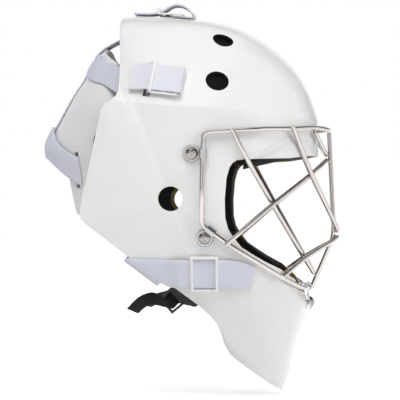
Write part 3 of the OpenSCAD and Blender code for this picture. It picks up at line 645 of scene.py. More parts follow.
RIBS = (
    (-65, 80, 92, 158, 54, 198, 26, 202, 0), (-61, 80, 93, 156, 56, 191, 27, 194, 0),
    (-53, 78, 96, 143, 64, 171, 30, 173, 0), (-47, 76, 98, 134, 68, 160, 32, 161, 0),
    (-40, 74, 100, 124, 72, 151, 32, 152, 0), (-34, 72, 101, 115, 75, 136, 32, 136, 0),
    (-20, 66, 103, 110, 70, 129, 32, 129, 0), (0, 62, 105, 108, 68, 127, 30, 127, 0),
    (17, 66, 105.5, 112, 68, 132, 31, 131.5, 0), (25, 72, 106, 119, 69, 138.5, 31, 138, 0),
    (33, 80, 106.5, 128, 68, 146, 30, 146, 0), (42, 90, 105.5, 139, 61, 153, 27, 152, 0),
    (51, 92, 106, 143, 60, 157, 27, 157, 0), (63, 87, 109, 143, 64, 160, 29, 160, 0),
    (74, 82, 111, 140, 67, 161, 32, 162, 0), (85, 80, 112, 141, 70, 161, 34, 161, 0),
    (97, 80, 112, 146, 70, 163, 34, 164, 0), (106, 83, 111, 149, 68, 169, 32, 170, 0),
    (111, 83, 111, 151, 64, 171, 28, 172, 0), (115, 83, 111, 118, 92, 130, 78, 140, 64),
    (120, 76, 110, 100, 105, 112, 96, 124, 86), (128, 62, 109, 88, 108.5, 100, 106, 112, 101),
    (142, 48, 107.5, 70, 107, 84, 106, 98, 104), (160, 42, 106, 66, 105, 80, 103, 92, 101),
    (180, 40, 104, 65, 102, 80, 100, 92, 98), (195, 40, 103, 65, 100, 80, 98, 92, 96),
    (220, 38, 100, 60, 96, 75, 93, 88, 90), (245, 35, 99, 60, 93, 72, 89, 85, 86),
    (272, 40, 97, 70, 89, 85, 84, 100, 80), (282, 60, 94, 90, 82, 105, 76, 120, 70),
    (290, 80, 91, 130, 68, 150, 53, 165, 40))
EAR_HALF = 105.0
CORNER_PULL = (1.6, 2.4, 1.0)
FIRST_JOINED, LAST_JOINED = -65.0, 111.0
# Places of the chin screw, as a rib angle, and of the crown and upper side straps, as x, z and tilt
CHIN_SCREW = -38.6
CROWN_STRAP = (-10, 161)
UPPER_STRAP = (-13, 101.3, -8.5)


class SteadyCurve:
    """A smooth curve through rows of values, which never overshoots them."""

    def __init__(self, places: Sequence[float], rows: Sequence[Sequence[float]], around: bool) -> None:
        """Works out the slope of each value at each row.

        Args:
            places: where each row lies.
            rows: the rows.
            around: whether the rows close on themselves after 360.
        """
        self.places, self.rows, self.around = places, rows, around
        self.slopes = [[0.0 if p * q <= 0 else 2 * p * q / (p + q)
                        for p, q in zip(self.rises(i - 1), self.rises(i))] for i in range(len(places))]

    def gap(self, i: int) -> float:
        """Gives the distance from row i to the next."""
        gap = self.places[(i + 1) % len(self.places)] - self.places[i % len(self.places)]
        return gap % 360 if self.around else gap

    def rises(self, i: int) -> list[float]:
        """Gives each value's rise from row i to the next, which is 0 past the ends of an open curve."""
        count = len(self.rows)
        if not self.around and not 0 <= i < count - 1:
            return [0.0] * len(self.rows[0])
        return [(b - a) / self.gap(i) for a, b in zip(self.rows[i % count], self.rows[(i + 1) % count])]

    def at(self, place: float) -> list[float]:
        """Gives the values at a place.

        Args:
            place: the place, between the first and the last row or round from one to the other.

        Returns:
            The values.
        """
        count = len(self.places)
        i = max(k for k in range(count if self.around else count - 1) if self.places[k] <= place)
        j, gap = (i + 1) % count, self.gap(i)
        s = (place - self.places[i]) / gap
        return [p * (2 * s ** 3 - 3 * s ** 2 + 1) + m * gap * (s ** 3 - 2 * s ** 2 + s)
                + q * (3 * s ** 2 - 2 * s ** 3) + n * gap * (s ** 3 - s ** 2)
                for p, q, m, n in zip(self.rows[i], self.rows[j], self.slopes[i], self.slopes[j])]


class Skin:
    """The shell's outer surface: a fan of ribs about the ear axis."""

    def __init__(self) -> None:
        """Runs a curve through the ribs."""
        self.curve = SteadyCurve([r[0] for r in RIBS], [r[1:] for r in RIBS], True)
        self.kept: dict[float, list[Point]] = {}

    def rib(self, angle: float) -> list[Point]:
        """Gives the corners of the rib at an angle, each a radius and a half width."""
        a = angle + 360 if angle < FIRST_JOINED else angle
        if a not in self.kept:
            v = self.curve.at(a)
            self.kept[a] = [(0.0, EAR_HALF), *zip(v[::2], v[1::2])]
        return self.kept[a]

    def rib_point(self, angle: float, t: float) -> Point:
        """Gives the radius and half width at t on a rib, from 0 at the ear axis to 3 at its end."""
        q = self.rib(angle)
        k = min(2, int(t))
        s = t - k
        start = q[0] if k == 0 else tuple((a + b) / 2 for a, b in zip(q[k], q[k + 1]))
        end = q[4] if k == 2 else tuple((a + b) / 2 for a, b in zip(q[k + 1], q[k + 2]))
        pull = 2 * CORNER_PULL[k] * s * (1 - s)
        total = (1 - s) ** 2 + pull + s ** 2
        radius, half = [(a * (1 - s) ** 2 + b * pull + c * s ** 2) / total
                        for a, b, c in zip(start, q[k + 1], end)]
        return radius, half

    def point(self, angle: float, t: float) -> Vector:
        """Gives a point in millimetres; t from 3 to 6 is the left half."""
        radius, half = self.rib_point(angle, 6 - t if t > 3 else t)
        a = math.radians(angle)
        return Vector((radius * math.cos(a), half if t > 3 else -half, radius * math.sin(a)))

    def normal(self, angle: float, t: float) -> Vector:
        """Gives the outward normal there."""
        at = 6 - t if t > 3 else t
        low, high = max(0.01, at - 0.03), min(3.0, at + 0.03)
        up = self.point(angle, high) - self.point(angle, low)
        n = up.cross(self.point(angle + 0.6, at) - self.point(angle - 0.6, at)).normalized()
        if at > 2.999:
            n = Vector((n.x, 0, n.z)).normalized()
        return other_side(n) if t > 3 else n

    def lifted(self, angle: float, t: float, lift: float) -> Vector:
        """Gives a point that stands out from the surface by lift."""
        return self.point(angle, t) + self.normal(angle, t) * lift

    def seat(self, x: float, z: float) -> Point:
        """Finds the angle and t of a place in the side view.

        Args:
            x: forward of the ears.
            z: above the ears.

        Returns:
            The rib's angle and the place on it.
        """
        angle, radius = math.degrees(math.atan2(z, x)), math.hypot(x, z)
        low, high = 0.02, 3.0
        for _ in range(22):
            mid = (low + high) / 2
            if self.rib_point(angle, mid)[0] < radius:
                low = mid
            else:
                high = mid
        return angle, (low + high) / 2

    def on_side(self, x: float, z: float, lift: float = 0.0) -> Vector:
        """Gives the right side's point at a place in the side view."""
        angle, t = self.seat(x, z)
        return self.lifted(angle, t, lift)

    def frame_at(self, x: float, z: float, tilt: float = 0.0) -> list[Vector]:
        """Gives a frame on the right side.

        Args:
            x: forward of the ears.
            z: above the ears.
            tilt: turn about the normal, in degrees.

        Returns:
            The origin, then the axes forward, up and outwards.
        """
        n = self.normal(*self.seat(x, z))
        u = (Vector((1, 0, 0)) - n * n.x).normalized()
        v = n.cross(u)
        c, s = math.cos(math.radians(tilt)), math.sin(math.radians(tilt))
        return [self.on_side(x, z), u * c + v * s, v * c - u * s, n]


SKIN = Skin()
DRESSER = Dresser()
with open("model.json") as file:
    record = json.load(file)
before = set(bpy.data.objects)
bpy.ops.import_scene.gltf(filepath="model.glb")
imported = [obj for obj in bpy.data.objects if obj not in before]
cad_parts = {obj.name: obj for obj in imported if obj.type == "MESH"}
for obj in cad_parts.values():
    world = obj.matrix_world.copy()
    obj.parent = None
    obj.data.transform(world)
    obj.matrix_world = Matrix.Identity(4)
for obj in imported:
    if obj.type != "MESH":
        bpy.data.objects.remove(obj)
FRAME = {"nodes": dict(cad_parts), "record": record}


def body_for(node: str) -> str:
    """Names the CAD body that holds a node."""
    bodies = FRAME["record"]["behaviour"]["bodies"]
    return next(name for name, nodes in bodies.items() if node in nodes)


def settle(piece: Piece, node: str, *finishes: Finish) -> None:
    """Dresses a piece, lets it ride with a node's body and stands it in for the node.

    Args:
        piece: the piece.
        node: the CAD node.
        finishes: the piece's finishes.
    """
    DRESSER.dress(piece, *finishes)
    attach(piece, body_for(node))
    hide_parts(node)
    log.info("%s stands for %s, %d faces", piece.name, node, len(piece.data.polygons))


def rounded_copy(node: str, name: str, width_mm: float, finish: Finish) -> None:
    """Stands a copy of a hard CAD node, with rounded edges, in for it.

    Args:
        node: the node.
        name: the copy's name.
        width_mm: width of the rounding.
        finish: its finish.
    """
    piece = add_object(name, FRAME["nodes"][node].data.copy())
    weld(piece, False)
    modify(piece, "DECIMATE", decimate_type="DISSOLVE", angle_limit=math.radians(1))
    soften(piece, width_mm, 3, 40)
    settle(piece, node, finish)


# Pieces

@dataclass
class Shell:
    """The moulded shell, white outside and bare laminate inside."""

    wall: float = WALL
    ear_hole: float = 21.0
    screw_hole: float = 4.8
    # The vents' and screw holes' x, z and diameter
    holes: tuple = ((39.2, 100.8, 20.0), (42.8, 138.0, 18.5), (18.0, 38.5, 4.8), (29.0, -33.0, 4.8))
    hole_deep: float = 26.0
    slot: tuple = (6.0, 33.0, 24.0)
    slot_round: float = 2.9
    crease_z: float = 78.4
    crease_fall: float = 0.069
    crease_rise: float = 1.8
    crease_reach: float = 16.0
    crease_from: float = 0.6
    first_ring: float = 7.5
    finishes: tuple = (GEL_COAT, LAMINATE, VENT_WALL_SHADE)
    # Side views of the shell and its face opening, as x and z
    outline: tuple = (
        (-49, 200), (-48.5, 163), (-47.6, 148), (-45.6, 128), (-44.6, 106), (-44.4, 93), (-46.5, 87.5),
        (-52, 82.8), (-56.5, 80.5), (-59.3, 75), (-64.4, 50), (-70.1, 24.5), (-75.8, 1), (-77.7, -12),
        (-76.8, -17.5), (-73, -21), (-40, -47), (-10.5, -69.5), (2.2, -76), (23, -91.8), (33.5, -101.7),
        (38, -108), (41, -115), (44.2, -126.6), (48.3, -135), (54.5, -140.7), (94, -171), (130, -198),
        (220, -198), (220, 200))
    opening: tuple = (
        (200, 42), (126, 38.5), (100, 35), (62, 33.5), (56, 32.6), (52.5, 30.4), (50, 26.5),
        (47.5, 17.6), (46, 0), (46.3, -15.8), (48.6, -25.3), (52.1, -31.3), (59.7, -40.9), (66.7, -45.7),
        (78.4, -53), (92.7, -60.4), (105, -70.3), (110, -80.5), (130, -96), (200, -96))

    def crease_share(self, angle: float) -> float:
        """Gives how crisp the side crease is on a rib, from 0 to 1."""
        return PlateShape.step(20, 34, angle) * (1 - PlateShape.step(112, 128, angle))

    def crease_t(self, angle: float) -> float:
        """Finds the place on a rib where the side crease crosses it."""
        share = self.crease_share(angle)
        if share == 0:
            return self.crease_from
        a = math.radians(angle)
        radius = self.crease_z / (math.sin(a) + self.crease_fall * math.cos(a))
        found = SKIN.seat(radius * math.cos(a), radius * math.sin(a))[1]
        return self.crease_from + (found - self.crease_from) * share

    def outer(self, angle: float, t: float) -> Vector:
        """Gives the outer surface's point, drawn out to a crisp line along the side crease."""
        p = SKIN.point(angle, t)
        off = abs(p.z + self.crease_fall * p.x - self.crease_z)
        rise = self.crease_rise * max(0.0, 1 - off / self.crease_reach) ** 2
        return SKIN.lifted(angle, t, rise * self.crease_share(angle))

    def surface(self) -> Piece:
        """Makes the untrimmed wall: a fan of ribs, joined over the crown and face.

        Returns:
            The closed wall, with its inner faces in the second material.
        """
        angles = [FIRST_JOINED + 2 * i for i in range(89)]
        angles += [112, 113, 114, 115, 116.5, 118, 120, 122, 125, 128]
        angles += [128 + 5 * i for i in range(1, 33)] + [291]
        steps = [0.05, 0.15, 0.25] + [0.3 + 0.05 * i for i in range(6)] + [0.58, 0.6, 0.62]
        steps += [0.65 + 0.05 * i for i in range(23)] + [1.8 + 0.075 * i for i in range(16)] + [3.0]
        rows, cols, start = len(angles), len(steps), self.crease_from
        points: list[Vector] = []
        for lift in (0.0, -self.wall):
            for angle in angles:
                at = self.crease_t(angle)
                places = [t + (at - start) * (t / start) ** 3 if t < start
                          else 3 - (3 - t) * (3 - at) / (3 - start) for t in steps]
                a = math.radians(angle)
                ring = SKIN.seat(self.first_ring * math.cos(a), self.first_ring * math.sin(a))[1]
                places[0] = min(places[0], ring)
                line = [SKIN.lifted(angle, t, lift) if lift else self.outer(angle, t) for t in places]
                if lift:
                    line[0] = SKIN.point(angle, places[0]) + Vector((0, self.wall, 0))
                line = [Vector((p.x, p.y if abs(p.y) > 1e-6 else 0, p.z)) for p in line]
                points += line + [other_side(p) for p in line]
        layer = rows * cols * 2
        faces: list[list[int]] = []
        inside: list[int] = []
        for i in range(rows):
            nxt = (i + 1) % rows
            closed = angles[i] <= LAST_JOINED and angles[nxt] <= LAST_JOINED
            for left in (0, 1):
                a, b = (i * 2 + left) * cols, (nxt * 2 + left) * cols
                quads = [([a + j, b + j, b + j + 1, a + j + 1], 0) for j in range(cols - 1)]
                quads += [([layer + q[0] + 1, layer + q[1] + 1, layer + q[1], layer + q[0]], 1)
                          for q in [(a + j, b + j) for j in range(cols - 1)]]
                quads.append(([a, layer + a, layer + b, b], 1))
                if not closed:
                    e = cols - 1
                    quads.append(([a + e, b + e, layer + b + e, layer + a + e], 1))
                for quad, side in quads:
                    faces.append(quad[::-1] if left else quad)
                    inside.append(side)
        piece = make_piece("mask_shell", points, faces)
        for polygon, side in zip(piece.data.polygons, inside):
            polygon.material_index = side
        return piece

    def slot_tool(self, frame: Sequence[Vector], place: float) -> Piece:
        """Adds a round-ended tool for a strap's slot.

        Args:
            frame: the strap's frame.
            place: the slot's place along the strap.

        Returns:
            The tool.
        """
        tool = block([frame[0] + frame[1] * place, *frame[1:]], Vector(self.slot))
        modify(tool, "BEVEL", width=self.slot_round * MM, segments=5, affect="EDGES",
               limit_method="WEIGHT")
        return tool

    def build(self) -> None:
        """Cuts the wall to its shape, pierces it and dresses it."""
        piece = self.surface()
        weld(piece)
        self.paint(piece)
        for how, line in (("INTERSECT", self.outline), ("DIFFERENCE", self.opening)):
            tool = side_prism(line)
            self.paint(tool, 1)
            cut(piece, tool, how)
        tools = []
        for left in (False, True):
            for x, z, size in self.holes:
                at, _, _, n = SKIN.frame_at(x, z)
                if left:
                    at, n = other_side(at), other_side(n)
                tools.append(rod(at, n, size, self.hole_deep))
            frame = SKIN.frame_at(*UPPER_STRAP)
            if left:
                frame = [other_side(p) for p in frame]
            tools.append(self.slot_tool(frame, -5.5))
        tools.append(rod(Vector((0, 0, 0)), Vector((0, 1, 0)), self.ear_hole, 300))
        tools.append(rod(SKIN.lifted(CHIN_SCREW, 3, 0), SKIN.normal(CHIN_SCREW, 3), self.screw_hole,
                         self.hole_deep))
        tools.append(self.slot_tool(crown_frame(), 5))
        # Vents and side slots get walls coloured black as painted shade, and the last three tools leave
        # bare laminate
        for group, wall in ((tools[:-3], 2), (tools[-3:], 1)):
            tool = joined(group)
            self.paint(tool, wall)
            cut(piece, tool)
        soften(piece, 0.5, 2, 55)
        settle(piece, "shell", *self.finishes)

    def paint(self, piece: Piece, index: int | None = None) -> None:
        """Gives a piece the shell's finishes.

        Args:
            piece: the piece.
            index: the finish that all its faces take, or none to leave them.
        """
        for finish in self.finishes:
            piece.data.materials.append(DRESSER.material(finish))
        if index is not None:
            for polygon in piece.data.polygons:
                polygon.material_index = index


def crown_frame() -> list[Vector]:
    """Gives the crown strap's frame: the origin, then forward, across and up."""
    angle = math.degrees(math.atan2(*CROWN_STRAP[::-1]))
    n = SKIN.normal(angle, 3)
    return [SKIN.point(angle, 3), Vector((n.z, 0, -n.x)), Vector((0, -1, 0)), n]


@dataclass
class Cage:
    """The wire cage: a rim and six bars welded to it."""

    wire: float = 4.0
    gap: float = 2.0
    weld: float = 0.5
    sides: int = 5
    smooth: float = 50.0

    def rim_at(self, x: float, z: float, over: float = 0.0) -> Vector:
        """Gives the rim wire's middle beside a place in the side view."""
        return SKIN.on_side(x, z, self.wire / 2 + self.gap + over)

    def tube(self, name: str, path: Sequence[Vector], closed: bool = False) -> Piece:
        """Sweeps round wire along a path.

        Args:
            name: the piece's name.
            path: given points in millimetres.
            closed: whether the wire is a loop.

        Returns:
            The wire.
        """
        line = curve_through(path, 8, closed)
        curve = bpy.data.curves.new(name, "CURVE")
        curve.dimensions = "3D"
        curve.bevel_depth = self.wire / 2 * MM
        curve.bevel_resolution = self.sides
        curve.use_fill_caps = True
        spline = curve.splines.new("POLY")
        spline.points.add(len(line) - 1)
        for point, place in zip(spline.points, line):
            point.co = (*(place * MM), 1)
        spline.use_cyclic_u = closed
        only(add_object(name, curve))
        bpy.ops.object.convert(target="MESH")
        piece = bpy.context.active_object
        weld(piece)
        only(piece)
        bpy.ops.object.shade_smooth_by_angle(angle=math.radians(self.smooth))
        return piece

    def build(self) -> None:
        """Makes the rim and the bars."""
        half = [Vector(p) for p in ((135, 0, 62), (131.5, -22, 62), (123, -46, 62))]
        half += [self.rim_at(x, z) for x, z in (
            (103, 60), (78, 58.8), (52, 57.4), (34, 56.4), (30.2, 55.6), (28, 53.2), (27.4, 46),
            (27, 30), (26.6, 5), (26.6, -16), (28.6, -22.3), (35.6, -28), (55, -42), (76, -56),
            (93, -68))]
        lift = self.wire / 2 + self.gap
        half += [SKIN.lifted(a, t, lift) for a, t in ((-35.9, 2.2), (-35.4, 2.6), (-34.8, 3))]
        loop = half + [other_side(p) for p in half[-2:0:-1]]
        settle(self.tube("cage_rim_wire", loop, True), "cage_rim", WIRE)
        over = self.wire - self.weld
        bars = {
            "cage_long_bar": (((121.4, 0, -66), (119, -12, -61.5), (104.5, -52, -37), (84, -82, -1),
                               (66, -105, 32)), self.rim_at(51.4, 58.6, over)),
            "cage_upper_bar": (((142.9, 0, -28.5), (139.6, -9, -20), (118.8, -49.5, 23.6)),
                               self.rim_at(98.2, 61.6, over)),
            "cage_cheek_bar": (((133, 0, 34.6), (129.9, -13.2, 31.6), (118.1, -43.2, 20.4),
                                (87.4, -83, -4.2), (66, -102.4, -22.6)), self.rim_at(46.6, -37.8, over)),
            "cage_lower_bar": (((142.4, 0, -34), (137.6, -10, -38), (114.6, -36, -51.8)),
                               self.rim_at(89.7, -66.2, over)),
            "cage_brow_bar": (((132.8, 0, 39.4), (129.5, -20, 45)), Vector((122.6, -47.5, 58.4))),
        }
        for node, (points, end) in bars.items():
            right = [Vector(p) for p in points] + [end]
            path = right[::-1] + [other_side(p) for p in right[1:]]
            settle(self.tube(node + "_wire", path), node, WIRE)
        centre = [Vector((x, 0, z)) for x, z in (
            (135.4, 59.6), (136.6, 35), (138.2, -1), (139.2, -26), (138.6, -34.5), (135.4, -43),
            (126.4, -64), (119.3, -80.5))]
        settle(self.tube("cage_centre_bar_wire", centre), "cage_centre_bar", WIRE)


class Hardware:
    """Clips, screws, washers, nuts and slides, whose CAD shapes stay or get rounded edges."""

    def build(self) -> None:
        """Dresses the hard pieces."""
        for node in ("upper_clips", "lower_clips", "chin_clip", "clip_nuts"):
            DRESSER.dress_node(node, CLIP)
        DRESSER.dress_node("clip_screws", SCREW)
        DRESSER.dress_node("clip_washers", WASHER)
        for node in ("upper_slide_right", "upper_slide_left", "lower_slide_right", "lower_slide_left",
                     "crown_slide"):
            rounded_copy(node, node + "_moulding", 0.45, SLIDE)
        for side in ("right", "left"):
            rounded_copy("chin_buckle_" + side, "chin_buckle_moulding_" + side, 0.8, BUCKLE)


@dataclass
class Liner:
    """The foam inside the shell."""

    wall: float = WALL
    gap: float = 1.0
    thick: float = 14.0
    side_thick: float = 12.0
    chin_thick: float = 8.0
    ear_hole: float = 27.0
    edge_share: float = 0.86

    def crown(self, u: float, v: float) -> float:
        """Gives how much of its thickness a pad has, fuller in its middle."""
        full = (1 - abs(2 * u - 1) ** 3) * (1 - abs(2 * v - 1) ** 3)
        return self.edge_share + (1 - self.edge_share) * full

    def side_pad(self, name: str, back: Sequence[Point], front: Sequence[Point],
                 bevel: float = 0.09, rows: int = 16) -> Piece:
        """Makes foam against the inside of the right wall.

        Args:
            name: the piece's name.
            back: its back edge in the side view, from below.
            front: its front edge, from below.
            bevel: how far its inner face draws in.
            rows: rows and columns of its grid.

        Returns:
            The pad.
        """
        def at(u: float, v: float, lift: float) -> Vector:
            """Gives a point between the two edges."""
            p = along(back, v).lerp(along(front, v), u)
            return SKIN.on_side(p.x, p.y, lift)

        def pulled(s: float) -> float:
            """Draws a share in towards the middle."""
            return 0.5 + (s - 0.5) * (1 - 2 * bevel)

        base = -self.wall - self.gap
        top = grid_of(rows, rows, lambda i, j: at(i / rows, j / rows, base))
        bottom = grid_of(rows, rows, lambda i, j: at(
            pulled(i / rows), pulled(j / rows), base - self.side_thick * self.crown(i / rows, j / rows)))
        return slab(name, top, bottom)

    def middle_pad(self, name: str, a0: float, a1: float, t_from: float, near: float, thick: float,
                   bevel: float = 0.06, side_rise: float = 0.0, rows: int = 14, cols: int = 36) -> Piece:
        """Makes foam across the middle plane.

        Args:
            name: the piece's name.
            a0: lowest rib angle.
            a1: highest rib angle.
            t_from: how far round each side it reaches.
            near: depth of its outer face under the skin.
            thick: its thickness.
            bevel: how far its inner face draws in.
            side_rise: how far its lower edge climbs towards its ends, in degrees.
            rows: rows of its grid.
            cols: columns of its grid.

        Returns:
            The pad.
        """
        def at(i: int, j: int, k: float, lift: float) -> Vector:
            """Gives a point, drawn in by k."""
            wide = (3 - t_from) * (1 - k)
            low = a0 + side_rise * abs(2 * j / cols - 1) ** 4
            inset = (a1 - low) * k / 2
            angle = low + inset + (a1 - low - 2 * inset) * i / rows
            return SKIN.lifted(angle, 3 - wide + 2 * wide * j / cols, lift)

        top = grid_of(rows, cols, lambda i, j: at(i, j, 0, -near))
        bottom = grid_of(rows, cols, lambda i, j: at(
            i, j, bevel, -near - thick * self.crown(i / rows, j / cols)))
        return slab(name, top, bottom)

    def finish_pad(self, piece: Piece, node: str, rounding: float = 2.6) -> None:
        """Args:
            piece: the pad.
            node: the CAD node that it stands for.
            rounding: width of its rounded edges.
        """
        soften(piece, rounding, 4, 45)
        settle(piece, node, FOAM)

    def build(self) -> None:
        """Makes every pad in the shell."""
        near = self.wall + self.gap
        brow = self.middle_pad("brow_foam", 17.5, 38, 0.48, near, self.thick, side_rise=8.5)
        self.finish_pad(brow, "brow_pad", 4.5)
        crown = self.middle_pad("crown_foam", 46, 86, 1.75, near, self.thick)
        self.finish_pad(crown, "crown_pad")
        chin = self.middle_pad("chin_foam", -56, -43, 1.95, near + 0.5, self.chin_thick)
        self.finish_pad(chin, "chin_pad")
        sides = {
            "temple": (((-8, 70), (-8, 124)), ((64, 64), (60, 116)), 0.09),
            "ear": (((-46, -6), (-44, 56)), ((17, -24), (12, 50)), 0.03),
            "cheek": (((38, -39), (39, 46)), ((51.6, -33), (48.8, -26), (46.5, -16), (46.2, 0),
                                              (47.7, 17.5), (49.6, 25), (51.2, 29.5)), 0.02),
            "jaw": (((26, -48), (66, -92)), ((53, -34.8), (60.5, -41.2), (67.5, -45.6), (79, -52.6),
                                             (93, -60.3), (100, -66)), 0.04),
        }
        for place, (back, front, bevel) in sides.items():
            right = self.side_pad(place + "_foam_right", back, front, bevel)
            if place == "ear":
                cut(right, rod(Vector((0, -90, 0)), Vector((0, 1, 0)), self.ear_hole, 90))
            left = mirrored(right, place + "_foam_left")
            rounding = 1.2 if place == "cheek" else 2.6
            self.finish_pad(right, place + "_pad_right", rounding)
            self.finish_pad(left, place + "_pad_left", rounding)


@dataclass
class Harness:
    """The webbing on the shell."""

    wide: float = STRAP_WIDE
    thick: float = STRAP_THICK
    wall: float = WALL
    lower_layer: float = 1.2
    bar: float = 1.6
    slack: float = 0.3
    inner_gap: float = 1.5

    def heights(self) -> Point:
        """Gives the lower and upper layers' heights over the skin."""
        low = self.lower_layer + self.thick / 2 + self.slack
        return self.lower_layer, low + self.bar + self.slack + self.thick / 2

    def fold(self, x: float) -> list[Point]:
        """Gives the round fold of a doubled strap, past x."""
        low, high = self.heights()
        angles = [math.radians(90 - 30 * k) for k in range(7)]
        return [(x + math.cos(a) * (high - low) / 2, (low + high) / 2 + math.sin(a) * (high - low) / 2)
                for a in angles]

    def flat(self, name: str, frame: Sequence[Vector], path: Sequence[Point]) -> Piece:
        """Makes a strap whose side view is a path in a frame.

        Args:
            name: the piece's name.
            frame: the origin, then along, across and outwards.
            path: the strap's middle line, along and outwards.

        Returns:
            The strap.
        """
        origin, u, v, n = frame
        line = curve_through([Vector(p) for p in path], 3)
        middle = [origin + u * p.x + n * p.y for p in line]
        return ribbon(name, [edges(p, v, self.wide) for p in middle], self.thick, 1, 8)

    def lower(self, name: str) -> Piece:
        """Makes the lower strap, flat under its slide and laid on the skin elsewhere."""
        front = [((71.2, -58), (-0.18, -0.76), 1.8), ((62, -53.8), (-0.12, -0.92), 2.2)]
        back = [((-3, -51.3), (0.2, -0.95), 3), ((-17, -51), (0.5, -0.9), 2),
                ((-36.5, -50.4), (1.12, -0.84), 1.6), ((-39.6, -52.2), (1.12, -0.85), 0.4),
                ((-40.6, -53.1), (1.12, -0.86), -self.wall / 2),
                ((-39.4, -51.9), (1.12, -0.85), -self.wall - 0.6),
                ((-36.5, -48.5), (1.1, -0.82), -self.wall - 1.6),
                ((-37.5, -45.5), (1.1, -0.82), -self.wall - 1.8)]
        columns = 6
        height = 2 * self.bar + 0.4 + self.thick / 2

        def across(row: tuple, k: int) -> Vector:
            """Gives the k-th point of a row on the skin."""
            (x, z), (dx, dz), lift = row
            s = 1 - k / columns
            return SKIN.on_side(x + dx * self.wide * s, z + dz * self.wide * s, lift)

        rows = [[across(r, k) for k in range(columns + 1)] for r in front]
        at, u, v, n = SKIN.frame_at(28.3, -63)
        rows += [[at + u * x + v * self.wide * (k / columns - 0.5) + n * height
                  for k in range(columns + 1)] for x in (20, 7, -7, -20)]
        rows += [[across(r, k) for k in range(columns + 1)] for r in back]
        return laid(name, rows, self.thick)

    def build(self) -> None:
        """Makes the side straps and the crown strap."""
        low, high = self.heights()
        inner = -self.wall - self.inner_gap
        path = [(-21.5, 1.5), (-16, 1.8), (-10.5, 3.4), (-5, high), (8, high), *self.fold(22), (8, low),
                (-2.5, low), (-4.5, low - 0.6), (-5.5, -1), (-5.5, inner)]
        upper = self.flat("upper_webbing_right", SKIN.frame_at(*UPPER_STRAP), path)
        lower = self.lower("lower_webbing_right")
        for node, right, finish in (("upper_strap", upper, WEBBING_X_PAINTED_LIT),
                                    ("lower_strap", lower, WEBBING_LOW_PAINTED_SHADE)):
            left = mirrored(right, right.name.replace("right", "left"))
            settle(right, node + "_right", finish)
            settle(left, node + "_left", finish)
        path = [(-29, 2.2), (-14, 2.6), (-7, 4.2), (-2, 6.6), (4, 10.6), (10, 12), (16, 10.6),
                (20.5, 7.6), *self.fold(23), (12, low), (8, low), (6, low - 0.6), (5, -1), (5, inner)]
        settle(self.flat("crown_webbing", crown_frame(), path), "crown_strap", WEBBING_X_PAINTED_LIT)


class PlateShape:
    """The back plate's surface: a line behind the head, and how far it stands out at each turn."""

    # Heights, and x of the plate's middle there
    LINE = ((-20, -110), (0, -108), (15, -108), (38, -115), (46, -116), (56, -112.5), (66, -106.5),
            (80, -99), (94, -91), (106, -83), (117, -78.5), (126, -72.5), (134, -64))
    SIDE_X, TURN, WIDE, NARROWING = -52.0, 75.0, 168.0, 0.42
    # Heights of the top's middle, of the bottom's middle and of the lower ends
    TOP, LOW, WING = 134.0, 38.0, -14.0
    TOP_DROP = 16

    def __init__(self) -> None:
        """Runs a curve along the line."""
        self.curve = SteadyCurve([p[0] for p in self.LINE], [p[1:] for p in self.LINE], False)

    def back(self, z: float) -> float:
        """Gives x of the plate's middle at a height."""
        return self.curve.at(min(max(z, self.LINE[0][0]), self.LINE[-1][0] - 1e-6))[0]

    @staticmethod
    def step(a: float, b: float, x: float) -> float:
        """Rises smoothly from 0 at a to 1 at b."""
        s = max(0.0, min(1.0, (x - a) / (b - a)))
        return s * s * (3 - 2 * s)

    def point(self, b: float, z: float) -> Vector:
        """Gives the outer surface's point, with b from -1 on the right to 1 on the left."""
        turn = math.radians(b * self.TURN)
        narrow = 1 - self.NARROWING * self.step(70, 140, z)
        return Vector((self.SIDE_X + (self.back(z) - self.SIDE_X) * math.cos(turn),
                       self.WIDE / 2 * narrow * math.sin(turn), z))

    def normal(self, b: float, z: float) -> Vector:
        """Gives the outward normal."""
        wide = self.point(b + 0.03, z) - self.point(b - 0.03, z)
        return wide.cross(self.point(b, z - 2) - self.point(b, z + 2)).normalized()

    def lifted(self, b: float, z: float, lift: float) -> Vector:
        """Gives a point that stands out from the plate by lift."""
        return self.point(b, z) + self.normal(b, z) * lift

    def grid(self, inset: float, lift: float, rows: int, cols: int, ears: float = 0.0) -> Grid:
        """Gives a grid over the plate.

        Args:
            inset: how far it draws in from the plate's edge.
            lift: how far it stands out.
            rows: rows up the plate.
            cols: columns round it.
            ears: how far its upper ends run on under the shell, as a share of the turn.

        Returns:
            The grid.
        """
        def at(i: int, j: int) -> Vector:
            """Gives the point in row i and column j."""
            b = (1 - inset) * (2 * j / cols - 1)
            low = self.LOW + (self.WING - self.LOW) * self.step(0.47, 0.79, abs(b))
            high = self.TOP - self.TOP_DROP * b ** 2
            z = low + (high - low) * (inset * 0.8 + (1 - 1.6 * inset) * i / rows)
            return self.lifted(b * (1 + ears * self.step(50, 90, z)), z, lift)

        return grid_of(rows, cols, at)


PLATE_SHAPE = PlateShape()


